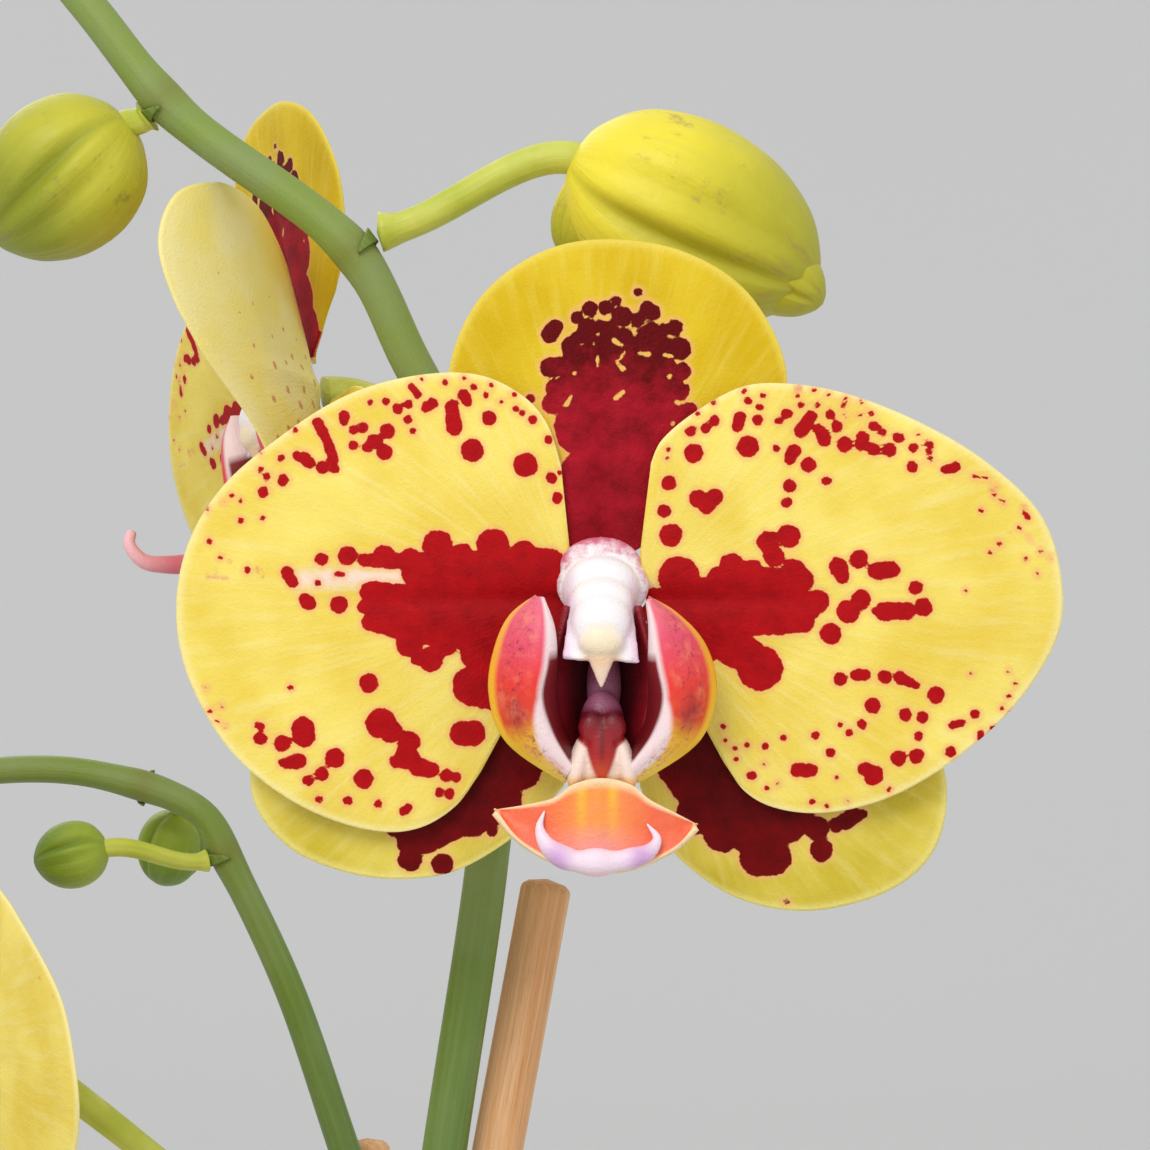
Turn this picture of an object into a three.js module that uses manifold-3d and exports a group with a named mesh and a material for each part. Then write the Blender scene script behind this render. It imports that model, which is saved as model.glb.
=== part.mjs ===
// A potted moth orchid in flower: a plain round pot of bark, one plant with six leaves,
// two flower spikes on stakes, three open flowers and their buds.
// Millimetres, +Z up, origin at the centre of the pot's underside.
// The large flower faces -Y and +X is to its viewer's right.

import * as THREE from "three";
import { mergeVertices } from "three/addons/utils/BufferGeometryUtils.js";
import Module from "manifold-3d";

const wasm = await Module();
wasm.setup();

// ---------- driving dimensions ----------

const seatGap = 0.3; // between pieces that touch
const potHeight = 117;
const potRimRadius = 63;
const potFootRadius = 46;
const potWall = 4.5;
const potFloor = 6;
const rimBandHeight = 9;
const rimBandDepth = 3;
const barkDrop = 14; // from the rim down to the bark
const barkMound = 1.5;
const crownRadius = 9;
const crownTop = 139;
const crownDepth = 16; // how far the crown reaches into the bark
const leafThickness = 2.4;
const leafPlaneAngle = 155; // the leaves stand in two ranks, on this heading and its opposite
const rootRadius = 2.4;
const spikeBaseRadius = 3.2;
const spikeTipRadius = 1.7;
const secondSpikeBaseRadius = 2.9;
const secondSpikeTipRadius = 1.5;
const stakeRadius = 2.75;
const clipWall = 1.3;
const clipHeight = 4;
const clipClearance = 0.8;
const pedicelRadius = 1.6;
const ovaryRadius = 1.9;
const petalThickness = 0.8;
const hubRadius = 2.6; // the column's foot, which every petal and sepal stands around
const columnRadius = 3.6;

// ---------- materials ----------

const paint = (color, roughness) => new THREE.MeshStandardMaterial({ color, roughness, metalness: 0 });
const glaze = paint(0xe9e6df, 0.25);
const bark = paint(0x6b4630, 0.9);
const greenLeaf = paint(0x3f6a2a, 0.4);
const greenStem = paint(0x5f8235, 0.45);
const silverRoot = paint(0xa8ae98, 0.7);
const yellowPetal = paint(0xe8d468, 0.5);
const darkSepal = paint(0x7a1510, 0.5);
const yellowBud = paint(0xd3cb35, 0.5);
const whiteColumn = paint(0xf1e6ee, 0.45);
const orangeLip = paint(0xd8552b, 0.45);
const paleWood = paint(0xd2a063, 0.7);
const clearClip = paint(0x9fb86a, 0.3);

// ---------- joining and cutting ----------

function closedGeometry(geometry) {
  const bare = geometry.clone();
  bare.deleteAttribute("normal");
  bare.deleteAttribute("uv");
  return mergeVertices(bare, 1e-4);
}

function toSolid(geometry) {
  const merged = closedGeometry(geometry);
  return new wasm.Manifold(new wasm.Mesh({
    numProp: 3,
    vertProperties: new Float32Array(merged.attributes.position.array),
    triVerts: new Uint32Array(merged.index.array),
  }));
}

function toGeometry(solid) {
  const mesh = solid.getMesh();
  const geometry = new THREE.BufferGeometry();
  geometry.setAttribute("position", new THREE.BufferAttribute(mesh.vertProperties, 3));
  geometry.setIndex(new THREE.BufferAttribute(mesh.triVerts, 1));
  return geometry;
}

function joined(...geometries) {
  const solids = geometries.map(toSolid);
  return toGeometry(solids.reduce((whole, part) => whole.add(part)));
}

function cutBy(body, ...tools) {
  return toGeometry(tools.map(toSolid).reduce((whole, tool) => whole.subtract(tool), toSolid(body)));
}

// ---------- shapes ----------

const radians = THREE.MathUtils.degToRad;
const vector = (x, y, z) => new THREE.Vector3(x, y, z);
const heading = (degrees) => vector(Math.cos(radians(degrees)), Math.sin(radians(degrees)), 0);

function circle(radius, sides) {
  const turn = (2 * Math.PI) / sides;
  const corner = (_, i) => new THREE.Vector2(radius * Math.cos(i * turn), radius * Math.sin(i * turn));
  return Array.from({ length: sides }, corner);
}

function smoothCurve(points) {
  return new THREE.CatmullRomCurve3(points.map((p) => vector(...p)), false, "centripetal");
}

// A round stem along a path. Each ring is scaled about its own centre, so that it tapers.
function stem(path, startRadius, endRadius, sides, steps) {
  const section = new THREE.Shape(circle(startRadius, sides));
  const geometry = new THREE.ExtrudeGeometry(section, { steps, extrudePath: path, bevelEnabled: false });
  const centres = path.getSpacedPoints(steps);
  const position = geometry.attributes.position;
  const corner = new THREE.Vector3();
  for (let i = 0; i < position.count; i += 1) {
    corner.fromBufferAttribute(position, i);
    const distances = centres.map((centre) => centre.distanceToSquared(corner));
    const ring = distances.indexOf(Math.min(...distances));
    const radius = startRadius + ((endRadius - startRadius) * ring) / steps;
    corner.sub(centres[ring]).multiplyScalar(radius / startRadius).add(centres[ring]);
    position.setXYZ(i, corner.x, corner.y, corner.z);
  }
  return geometry;
}

// A thin closed sheet. surface(across, along) gives its middle, both running from 0 to 1.
function sheet(surface, columns, rows, thickness) {
  const reach = 1e-3;
  const slopeOf = (before, after) => after.sub(before);
  const corners = [];
  for (const side of [1, -1]) {
    for (let j = 0; j <= rows; j += 1) {
      for (let i = 0; i <= columns; i += 1) {
        const across = i / columns;
        const along = j / rows;
        const slopeAcross = slopeOf(
          surface(Math.max(across - reach, 0), along),
          surface(Math.min(across + reach, 1), along),
        );
        const slopeAlong = slopeOf(
          surface(across, Math.max(along - reach, 0)),
          surface(across, Math.min(along + reach, 1)),
        );
        const normal = slopeAcross.cross(slopeAlong).normalize();
        const corner = surface(across, along).addScaledVector(normal, (side * thickness) / 2);
        corners.push(corner.x, corner.y, corner.z);
      }
    }
  }
  const back = (columns + 1) * (rows + 1);
  const at = (i, j) => j * (columns + 1) + i;
  const faces = [];
  const quad = (a, b, c, d) => faces.push(a, b, c, a, c, d);
  for (let j = 0; j < rows; j += 1) {
    for (let i = 0; i < columns; i += 1) {
      quad(at(i, j), at(i + 1, j), at(i + 1, j + 1), at(i, j + 1));
      quad(back + at(i, j + 1), back + at(i + 1, j + 1), back + at(i + 1, j), back + at(i, j));
    }
  }
  const rim = (a, b) => quad(b, a, back + a, back + b);
  for (let i = 0; i < columns; i += 1) {
    rim(at(i, 0), at(i + 1, 0));
    rim(at(i + 1, rows), at(i, rows));
  }
  for (let j = 0; j < rows; j += 1) {
    rim(at(0, j + 1), at(0, j));
    rim(at(columns, j), at(columns, j + 1));
  }
  const geometry = new THREE.BufferGeometry();
  geometry.setAttribute("position", new THREE.Float32BufferAttribute(corners, 3));
  geometry.setIndex(faces);
  return geometry;
}

// A round or egg-shaped solid on the line from base along aim.
function turned(profile, sides, base, aim) {
  const geometry = new THREE.LatheGeometry(profile, sides);
  const turn = new THREE.Quaternion().setFromUnitVectors(vector(0, 1, 0), aim.clone().normalize());
  geometry.applyQuaternion(turn);
  return geometry.translate(base.x, base.y, base.z);
}

function ellipsoid(centre, radii, widthSegments, heightSegments) {
  const geometry = new THREE.SphereGeometry(1, widthSegments, heightSegments);
  return geometry.scale(...radii).translate(...centre);
}

const plant = new THREE.Group();

function addPiece(parent, name, geometry, material) {
  const piece = new THREE.Mesh(closedGeometry(geometry), material);
  piece.name = name;
  parent.add(piece);
  return piece;
}

// ---------- pot and bark ----------

const potInnerRim = potRimRadius - rimBandDepth - potWall + 1;
const potInnerFoot = potFootRadius - potWall;
const barkTop = potHeight - barkDrop;
const innerRadiusAt = (z) =>
  potInnerFoot + ((potInnerRim - potInnerFoot) * (z - potFloor)) / (potHeight - potFloor);

const potProfile = [
  [0, 0],
  [potFootRadius - 2, 0],
  [potFootRadius, 1.5],
  [potRimRadius - rimBandDepth, potHeight - rimBandHeight - 1],
  [potRimRadius - 0.6, potHeight - rimBandHeight],
  [potRimRadius, potHeight - rimBandHeight + 1.5],
  [potRimRadius, potHeight - 1.5],
  [potRimRadius - 1.5, potHeight],
  [potInnerRim + 1.5, potHeight],
  [potInnerRim, potHeight - 1.5],
  [potInnerFoot, potFloor],
  [0, potFloor],
].map(([r, z]) => new THREE.Vector2(r, z));
const upright = vector(0, 0, 1);
addPiece(plant, "pot", turned(potProfile, 48, vector(0, 0, 0), upright), glaze);

const barkProfile = [
  [0, potFloor + seatGap],
  [innerRadiusAt(potFloor) - seatGap, potFloor + seatGap],
  [innerRadiusAt(barkTop) - seatGap, barkTop - barkMound],
  [innerRadiusAt(barkTop) * 0.6, barkTop - barkMound / 2],
  [0, barkTop],
].map(([r, z]) => new THREE.Vector2(r, z));

const crownFoot = barkTop - crownDepth;
const crownProfile = (margin) => [
  [0, crownFoot - margin],
  [crownRadius * 0.7 + margin, crownFoot - margin],
  [crownRadius + margin, crownFoot + 5],
  [crownRadius + margin, crownTop - 7],
  [crownRadius * 0.62 + margin, crownTop - 1.5],
  [0, crownTop + margin],
].map(([r, z]) => new THREE.Vector2(r, z));
addPiece(plant, "crown", turned(crownProfile(0), 20, vector(0, 0, 0), upright), greenLeaf);

// ---------- stakes ----------

const stakeEnds = {
  main_stake: [vector(-31.7, -16.6, 20), vector(38, 5, 396.8)],
  second_stake: [vector(26, 24, 20), vector(15.7, 51.5, 361.5)],
};
const stakeLine = (name) => new THREE.LineCurve3(...stakeEnds[name]);
for (const name of Object.keys(stakeEnds)) {
  addPiece(plant, name, stem(stakeLine(name), stakeRadius, stakeRadius, 12, 1), paleWood);
}

const barkHoles = [
  turned(crownProfile(seatGap), 20, vector(0, 0, 0), upright),
  ...Object.keys(stakeEnds).map((name) => {
    const [foot, top] = stakeEnds[name];
    const start = foot.clone().addScaledVector(top.clone().sub(foot).normalize(), -seatGap);
    return stem(new THREE.LineCurve3(start, top), stakeRadius + seatGap, stakeRadius + seatGap, 12, 1);
  }),
];
const barkBody = turned(barkProfile, 36, vector(0, 0, 0), upright);
addPiece(plant, "bark_medium", cutBy(barkBody, ...barkHoles), bark);

// ---------- leaves ----------

// The midrib is an arc that leaves the crown at the rise angle and ends at the droop angle.
function leafSurface({ turn, height, length, width, rise, droop }) {
  const out = heading(turn);
  const sideways = vector(-out.y, out.x, 0);
  const startAngle = radians(rise);
  const sweep = radians(droop) - startAngle;
  const start = crownRadius + seatGap + (Math.sin(startAngle) * leafThickness) / 2;
  return (across, along) => {
    const angle = startAngle + sweep * along;
    const reach = (length * (Math.sin(angle) - Math.sin(startAngle))) / sweep;
    const lift = (length * (Math.cos(startAngle) - Math.cos(angle))) / sweep;
    const swell = 0.22 + 0.78 * Math.sin((Math.PI / 2) * Math.min(1, along / 0.5));
    const taper = Math.sqrt(1 - 0.985 * Math.max(0, (along - 0.5) / 0.5) ** 2.4);
    const offset = (across - 0.5) * width * swell * taper;
    const channel = 0.16 * (Math.hypot(offset, 4) - 4) * (1 - 0.5 * along);
    return vector(0, 0, height + lift)
      .addScaledVector(out, start + reach)
      .addScaledVector(sideways, offset)
      .addScaledVector(out, -Math.sin(angle) * channel)
      .addScaledVector(upright, Math.cos(angle) * channel);
  };
}

// name, heading, height on the crown, length, width, rise and droop
const leaves = [
  ["leaf_left_lower", leafPlaneAngle + 4, 112, 215, 82, 30, -48],
  ["leaf_left_middle", leafPlaneAngle - 5, 122, 190, 76, 44, -30],
  ["leaf_left_upper", leafPlaneAngle + 3, 129, 118, 50, 62, 8],
  ["leaf_right_lower", leafPlaneAngle + 184, 113, 205, 80, 34, -42],
  ["leaf_right_middle", leafPlaneAngle + 176, 124, 170, 70, 50, -18],
  ["leaf_right_upper", leafPlaneAngle + 181, 130, 74, 32, 72, 30],
];
for (const [name, turn, height, length, width, rise, droop] of leaves) {
  const surface = leafSurface({ turn, height, length, width, rise, droop });
  addPiece(plant, name, sheet(surface, 6, 11, leafThickness), greenLeaf);
}


// ---------- roots above the bark ----------

const rootRoutes = {
  root_front: [[2.9, -8.9, 109], [8, -26, 112], [14, -46, 119], [18, -61, 121.6], [20.5, -70, 115],
    [21, -74, 96], [19, -73, 74]],
  root_back: [[-4.65, 8.05, 106], [-12, 20, 107.5], [-22, 38, 115], [-31, 54, 121.6], [-37, 63.5, 117],
    [-39, 68, 100], [-38, 68, 84]],
  root_right: [[8.1, 4.7, 107], [20, 10, 106.2], [34, 14, 105.6], [45, 11, 105.2]],
  root_under_leaf: [[9.3, -0.9, 106.6], [24, -6, 106], [38, -16, 105.6], [41, -30, 105.2]],
};
for (const [name, route] of Object.entries(rootRoutes)) {
  const steps = 4 * (route.length - 1);
  addPiece(plant, name, stem(smoothCurve(route), rootRadius, rootRadius * 0.8, 7, steps), silverRoot);
}

// ---------- flower spikes ----------

const spikes = {
  main_spike: {
    radii: [spikeBaseRadius, spikeTipRadius],
    curve: smoothCurve([
      [-3, -12.2, barkTop + 1.2], [-2.6, -12.6, 130], [-1, -12.6, 165], [3, -12, 205], [9.8, -9.6, 250],
      [17, -6.4, 300], [21.6, -3.4, 330], [26.9, 0, 368], [31.5, 0.5, 399.2], [32.9, 0.5, 416.5],
      [30.5, 1, 438], [23, 1, 453.6], [16.9, 1, 465.1], [-2.5, 2, 480.4], [-12, 2.5, 492],
      [-24, 4, 506], [-42, 5, 518], [-62, 5, 524], [-82, 4, 523], [-98, 3, 516],
    ]),
    steps: 44,
  },
  second_spike: {
    radii: [secondSpikeBaseRadius, secondSpikeTipRadius],
    curve: smoothCurve([
      [0, 12.3, barkTop + 1.2], [2, 13, 130], [9, 18, 165], [19, 27, 205], [27, 35, 250],
      [28, 41, 300], [22.5, 44, 335], [13.4, 45, 361], [6.6, 46, 380.4], [-0.4, 46, 395.2],
      [-4, 46, 401.5], [-15.4, 46, 405.8], [-26, 45, 406.7], [-43, 43, 404], [-57, 41, 398],
    ]),
    steps: 40,
  },
};
for (const [name, { radii, curve, steps }] of Object.entries(spikes)) {
  addPiece(plant, name, stem(curve, ...radii, 8, steps), greenStem);
}

// Where a spike passes a height, searched from its base upwards.
function spikeShareAt(spike, height) {
  const samples = 400;
  for (let i = 0; i < samples; i += 1) {
    if (spike.curve.getPointAt(i / samples).z >= height) {
      return i / samples;
    }
  }
  return 1;
}
const spikeRadiusAt = (spike, share) => spike.radii[0] + (spike.radii[1] - spike.radii[0]) * share;

// ---------- clips that tie a spike to its stake ----------

function addClip(name, spike, stakeName, height) {
  const share = spikeShareAt(spike, height);
  const onSpike = spike.curve.getPointAt(share);
  const [foot, top] = stakeEnds[stakeName];
  const onStake = foot.clone().lerp(top, (onSpike.z - foot.z) / (top.z - foot.z));
  const middle = onSpike.clone().lerp(onStake, 0.5);
  const axis = top.clone().sub(foot).normalize().add(spike.curve.getTangentAt(share)).normalize();
  const towards = onStake.clone().sub(onSpike);
  towards.addScaledVector(axis, -towards.dot(axis));
  const half = towards.length() / 2;
  towards.normalize();
  const outline = (spikeSide, stakeSide, Kind) => {
    const loop = new Kind();
    loop.absarc(-half, 0, spikeSide, Math.PI / 2, (3 * Math.PI) / 2, false);
    loop.absarc(half, 0, stakeSide, -Math.PI / 2, Math.PI / 2, false);
    return loop;
  };
  const spikeHole = spikeRadiusAt(spike, share) + clipClearance;
  const stakeHole = stakeRadius + clipClearance;
  const shape = outline(spikeHole + clipWall, stakeHole + clipWall, THREE.Shape);
  shape.holes.push(outline(spikeHole, stakeHole, THREE.Path));
  const settings = { depth: clipHeight, bevelEnabled: false, curveSegments: 6 };
  const geometry = new THREE.ExtrudeGeometry(shape, settings).translate(0, 0, -clipHeight / 2);
  const clip = addPiece(plant, name, geometry, clearClip);
  const basis = new THREE.Matrix4().makeBasis(towards, axis.clone().cross(towards), axis);
  clip.quaternion.setFromRotationMatrix(basis);
  clip.position.copy(middle);
}
addClip("main_clip_lower", spikes.main_spike, "main_stake", 215);
addClip("main_clip_upper", spikes.main_spike, "main_stake", 300);
addClip("second_clip", spikes.second_spike, "second_stake", 334);

// ---------- flowers ----------

// Petals and sepals fan out from a claw. Each outline point is [degrees off the axis, radius].
const petalLeft = [[84, 13.5], [81, 18], [75, 21.6], [66, 25], [54, 28], [42, 31], [30, 33.8], [18, 37.4],
  [8, 39.6], [-2, 40.4], [-12, 39.9], [-24, 38], [-36, 35], [-47, 31.7], [-55, 28.4], [-60, 24], [-61, 19]];
const petalRight = [[83, 14], [80, 16.5], [72, 20], [63, 24.2], [54, 27], [44, 30], [33, 33.6], [22, 38],
  [12, 42], [3, 43.3], [-5, 43], [-15, 40.2], [-26, 36.4], [-37, 32.9], [-47, 29.4], [-55, 25.9],
  [-60, 22.4], [-61, 18]];
const dorsalSepal = [[56, 13], [50, 19.5], [38, 25.7], [25, 30.4], [12, 33], [0, 33.8], [-14, 33.5],
  [-28, 31.7], [-43, 27.2], [-54, 20], [-58, 13]];
const lateralSepalLeft = [[48, 17], [38, 22.6], [28, 28.6], [19, 32.6], [11, 35.6], [3, 38], [-5, 38.6],
  [-12, 36.8], [-20, 32], [-28, 24], [-32, 15]];
const lateralSepalRight = [[46, 17], [40, 23.6], [30, 30], [20, 34.6], [10, 37.8], [2, 39.4], [-5, 39],
  [-13, 36.4], [-21, 31.6], [-29, 22], [-32, 15]];
const clawRadius = 1.2;
const clawDistance = hubRadius + seatGap + 0.1;
const petalLevel = 1.3; // petals lie this far in front of the sepals

// axis is in degrees from the flower's right, side is -1 where positive angles run clockwise.
// The blade leaves its claw tilted forward and curls by a steady angle per millimetre, in radians.
function tepalSurface({ outline, axis, side, claw, level, tilt, curl, cup }) {
  const rimPoints = outline.map(([angle, radius]) => [radians(side * angle), radius]);
  rimPoints.sort((a, b) => a[0] - b[0]);
  const onRim = ([angle, radius]) => new THREE.Vector2(radius * Math.cos(angle), radius * Math.sin(angle));
  const rim = new THREE.SplineCurve(rimPoints.map(onRim));
  const turn = radians(axis);
  const start = radians(tilt);
  return (across, along) => {
    const edge = rim.getPoint(across);
    const inner = edge.clone().normalize().multiplyScalar(clawRadius);
    const spot = inner.lerp(edge, along);
    const slope = start + curl * spot.x;
    const out = (Math.sin(slope) - Math.sin(start)) / curl;
    const forward = level + (Math.cos(start) - Math.cos(slope)) / curl + cup * spot.y ** 2;
    return vector(
      claw[0] + out * Math.cos(turn) - spot.y * Math.sin(turn),
      claw[1] + out * Math.sin(turn) + spot.y * Math.cos(turn),
      forward,
    );
  };
}

function columnGeometry() {
  const hubBack = -petalThickness / 2;
  const front = petalLevel + petalThickness / 2 + seatGap;
  const hubLine = new THREE.LineCurve3(vector(0, 0, hubBack), vector(0, 0, front + 1));
  const hub = stem(hubLine, hubRadius, hubRadius, 12, 1);
  const trunkPath = smoothCurve([[0, 0, front], [0, -1.2, 6], [0, -3.8, 9.6]]);
  const trunk = stem(trunkPath, columnRadius, columnRadius + 0.5, 12, 4);
  const cap = ellipsoid([0, -4, 9.6], [columnRadius + 0.7, 4.3, 2.4], 12, 6);
  const beak = ellipsoid([-0.3, -7.2, 9.8], [1.5, 1.9, 1.1], 6, 4);
  return joined(hub, trunk, cap, beak);
}

function lipGeometry() {
  const lobe = () => sheet((across, along) => {
    const angle = radians(98 + 64 * across);
    const radius = 1 + along * (17.6 - 10.5 * across ** 1.4);
    return vector(
      radius * Math.cos(angle) - 2.6,
      radius * Math.sin(angle) - 17,
      6.8 + 4.5 * across * along + 3.5 * Math.sin(Math.PI * along * 0.6) - 3 * along,
    );
  }, 5, 4, petalThickness);
  const leftLobe = lobe();
  const rightLobe = lobe();
  rightLobe.scale(-1, 1, 1);
  rightLobe.setIndex([...rightLobe.index.array].reverse());
  const blade = new THREE.Shape();
  blade.moveTo(-2.2, -17.2);
  blade.bezierCurveTo(-4, -19, -8, -19.4, -11, -20.6);
  blade.bezierCurveTo(-8.5, -23, -6, -27, -0.9, -27.7);
  blade.bezierCurveTo(4.6, -27.2, 7.4, -24.4, 9.2, -22.2);
  blade.bezierCurveTo(6.5, -19.8, 4, -19, 1.6, -17.2);
  const midlobe = new THREE.ExtrudeGeometry(blade, { depth: 1.6, bevelEnabled: false, curveSegments: 3 });
  midlobe.translate(0, 0, 8);
  const callus = ellipsoid([-0.3, -15.2, 7.6], [3.6, 3.2, 2.6], 8, 6);
  const claw = stem(smoothCurve([[0, -6.2, 3.6], [0, -10, 4], [0, -14.5, 6.8]]), 1.3, 2, 8, 3);
  return joined(callus, leftLobe, rightLobe, midlobe, claw);
}

const columnShape = columnGeometry();
const lipShape = lipGeometry();

// facing is the flower's heading, nod tips its face down and roll turns it clockwise to its viewer.
function addFlower({ name, place, facing, nod, roll, size, leftPetal, rightPetal, sepalTilts }) {
  const flower = new THREE.Group();
  const front = heading(facing);
  front.multiplyScalar(Math.cos(radians(nod))).addScaledVector(upright, -Math.sin(radians(nod)));
  const right = upright.clone().cross(front).normalize();
  const up = front.clone().cross(right);
  right.applyAxisAngle(front, radians(-roll));
  up.applyAxisAngle(front, radians(-roll));
  flower.quaternion.setFromRotationMatrix(new THREE.Matrix4().makeBasis(right, up, front));
  flower.position.set(...place);
  flower.scale.setScalar(size);
  plant.add(flower);
  const clawAt = (angle) => heading(angle).multiplyScalar(clawDistance).toArray();
  const petals = { level: petalLevel, cup: -0.002 };
  const sepals = { level: 0, curl: -0.003, cup: -0.002 };
  const [dorsalTilt, leftTilt, rightTilt] = sepalTilts;
  const tepals = [
    ["petal_left", petalLeft,
      { axis: 180, side: -1, claw: clawAt(180), ...petals, ...leftPetal }, 11, 4, yellowPetal],
    ["petal_right", petalRight,
      { axis: 0, side: 1, claw: clawAt(0), ...petals, ...rightPetal }, 11, 4, yellowPetal],
    ["dorsal_sepal", dorsalSepal,
      { axis: 90, side: 1, claw: clawAt(90), tilt: dorsalTilt, ...sepals }, 8, 4, yellowPetal],
    ["lateral_sepal_left", lateralSepalLeft,
      { axis: 215, side: 1, claw: clawAt(225), tilt: leftTilt, ...sepals }, 8, 4, darkSepal],
    ["lateral_sepal_right", lateralSepalRight,
      { axis: -39, side: -1, claw: clawAt(-45), tilt: rightTilt, ...sepals }, 8, 4, darkSepal],
  ];
  for (const [part, outline, form, columns, rows, material] of tepals) {
    const geometry = sheet(tepalSurface({ outline, ...form }), columns, rows, petalThickness);
    addPiece(flower, `${name}_${part}`, geometry, material);
  }
  addPiece(flower, `${name}_column`, columnShape, whiteColumn);
  addPiece(flower, `${name}_lip`, lipShape, orangeLip);
  return { back: vector(...place).addScaledVector(front, -size * (petalThickness / 2) - seatGap), front };
}

// A stalk that leaves a spike sideways and bends to its flower or bud.
function stalkPath(start, out, end, into, pull) {
  const leave = start.clone().addScaledVector(out.clone().normalize(), pull);
  const arrive = end.clone().addScaledVector(into.clone().normalize(), -pull);
  return new THREE.CubicBezierCurve3(start, leave, arrive, end);
}

// Where a stalk's flat end stands clear of the spike that carries it.
function spikeSeat(spike, share, out, stalkRadius) {
  const centre = spike.curve.getPointAt(share);
  const tangent = spike.curve.getTangentAt(share);
  const slant = out.dot(tangent) / out.length();
  const away = out.clone().addScaledVector(tangent, -out.dot(tangent)).normalize();
  return centre.addScaledVector(away, spikeRadiusAt(spike, share) + seatGap + stalkRadius * Math.abs(slant));
}

const gentle = { tilt: 2.3, curl: -0.0024 };
const flowers = [
  {
    name: "flower_front", place: [44, -24, 427.5], facing: -90, nod: 0, roll: 0, size: 1,
    leftPetal: gentle, rightPetal: gentle, sepalTilts: [0, 0, 0],
    spike: "main_spike", node: 421, out: vector(1, -0.3, 0), pull: 9,
  },
  {
    name: "flower_side", place: [11.6, 23, 450.6], facing: -152, nod: 9, roll: -14, size: 0.92,
    leftPetal: { tilt: 4, curl: -0.001 }, rightPetal: { tilt: 32, curl: 0.015 }, sepalTilts: [0, -3, 17],
    spike: "main_spike", node: 444, out: vector(0, 1, 0), pull: 7,
  },
  {
    name: "flower_low", place: [-31, 20, 378], facing: -150, nod: 6, roll: 0, size: 0.92,
    leftPetal: gentle, rightPetal: gentle, sepalTilts: [0, 0, 0],
    spike: "second_spike", node: 345, out: vector(-1, -0.5, -0.3), pull: 11,
  },
];
for (const { spike, node, out, pull, ...flower } of flowers) {
  const { back, front } = addFlower(flower);
  const carrier = spikes[spike];
  const start = spikeSeat(carrier, spikeShareAt(carrier, node), out, pedicelRadius);
  const path = stalkPath(start, out, back, front, pull);
  addPiece(plant, `${flower.name}_pedicel`, stem(path, pedicelRadius, ovaryRadius, 8, 8), greenStem);
}

// ---------- buds, each with its own stalk ----------

function budProfile(length, radius) {
  const shares = [0, 0.04, 0.2, 0.42, 0.64, 0.84, 0.97, 1];
  const widths = [0, 0.4, 0.84, 1, 0.94, 0.68, 0.26, 0];
  return shares.map((share, i) => new THREE.Vector2(radius * widths[i], length * share));
}

function addBud({ name, start, out, base, aim, length, radius, pull, stalkRadius }) {
  const head = turned(budProfile(length, radius), 10, base, aim);
  const seat = base.clone().addScaledVector(aim.clone().normalize(), length * 0.08);
  const stalk = stem(stalkPath(start, out, seat, aim, pull), stalkRadius, stalkRadius * 1.15, 7, 6);
  addPiece(plant, name, joined(head, stalk), yellowBud);
}

const { main_spike: mainSpike, second_spike: secondSpike } = spikes;
const buds = [
  {
    name: "bud_right", spike: mainSpike, node: 464.6, out: vector(1, 0, 0.1), pull: 8, stalkRadius: 1.6,
    base: vector(40.7, 2, 475.6), aim: vector(0.88, 0, -0.47), length: 30, radius: 10.6,
  },
  {
    name: "bud_left", spike: mainSpike, node: 481, out: vector(-0.8, 0.2, -0.6), pull: 2, stalkRadius: 1.4,
    base: vector(-7.6, 4, 479.6), aim: vector(-0.76, 0.05, -0.65), length: 20, radius: 8.7,
  },
  {
    name: "bud_tip_one", spike: mainSpike, node: 509, out: vector(0.4, 0.2, 1), pull: 4, stalkRadius: 1.3,
    base: vector(-24, 6, 522), aim: vector(0.25, 0.2, 0.95), length: 16, radius: 6.8,
  },
  {
    name: "bud_tip_two", spike: mainSpike, node: 521, out: vector(-0.2, -0.4, -1), pull: 4, stalkRadius: 1.2,
    base: vector(-57, 0, 509), aim: vector(-0.35, -0.3, -0.9), length: 13, radius: 5.4,
  },
  {
    name: "bud_second_one", spike: secondSpike, node: 396, out: vector(-1, -0.4, -0.2), pull: 5,
    stalkRadius: 1, base: vector(-14.5, 41, 397.6), aim: vector(-0.98, 0, -0.2), length: 9, radius: 4.1,
  },
  {
    name: "bud_second_two", spike: secondSpike, node: 404.6, out: vector(0, 1, -0.3), pull: 3,
    stalkRadius: 1, base: vector(-7, 54, 401), aim: vector(-0.3, 0.3, -0.9), length: 10, radius: 4.3,
  },
];
for (const { spike, node, ...bud } of buds) {
  const start = spikeSeat(spike, spikeShareAt(spike, node), bud.out, bud.stalkRadius);
  addBud({ ...bud, start });
}

// The last bud of each spike sits straight on its end.
const endBuds = { main_end_bud: [mainSpike, 8, 3.4], second_end_bud: [secondSpike, 7.5, 3.3] };
for (const [name, [spike, length, radius]] of Object.entries(endBuds)) {
  const aim = spike.curve.getTangentAt(1);
  const base = spike.curve.getPointAt(1).addScaledVector(aim, seatGap);
  addPiece(plant, name, turned(budProfile(length, radius), 10, base, aim), yellowBud);
}

export default plant;
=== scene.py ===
import math
import random

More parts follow.
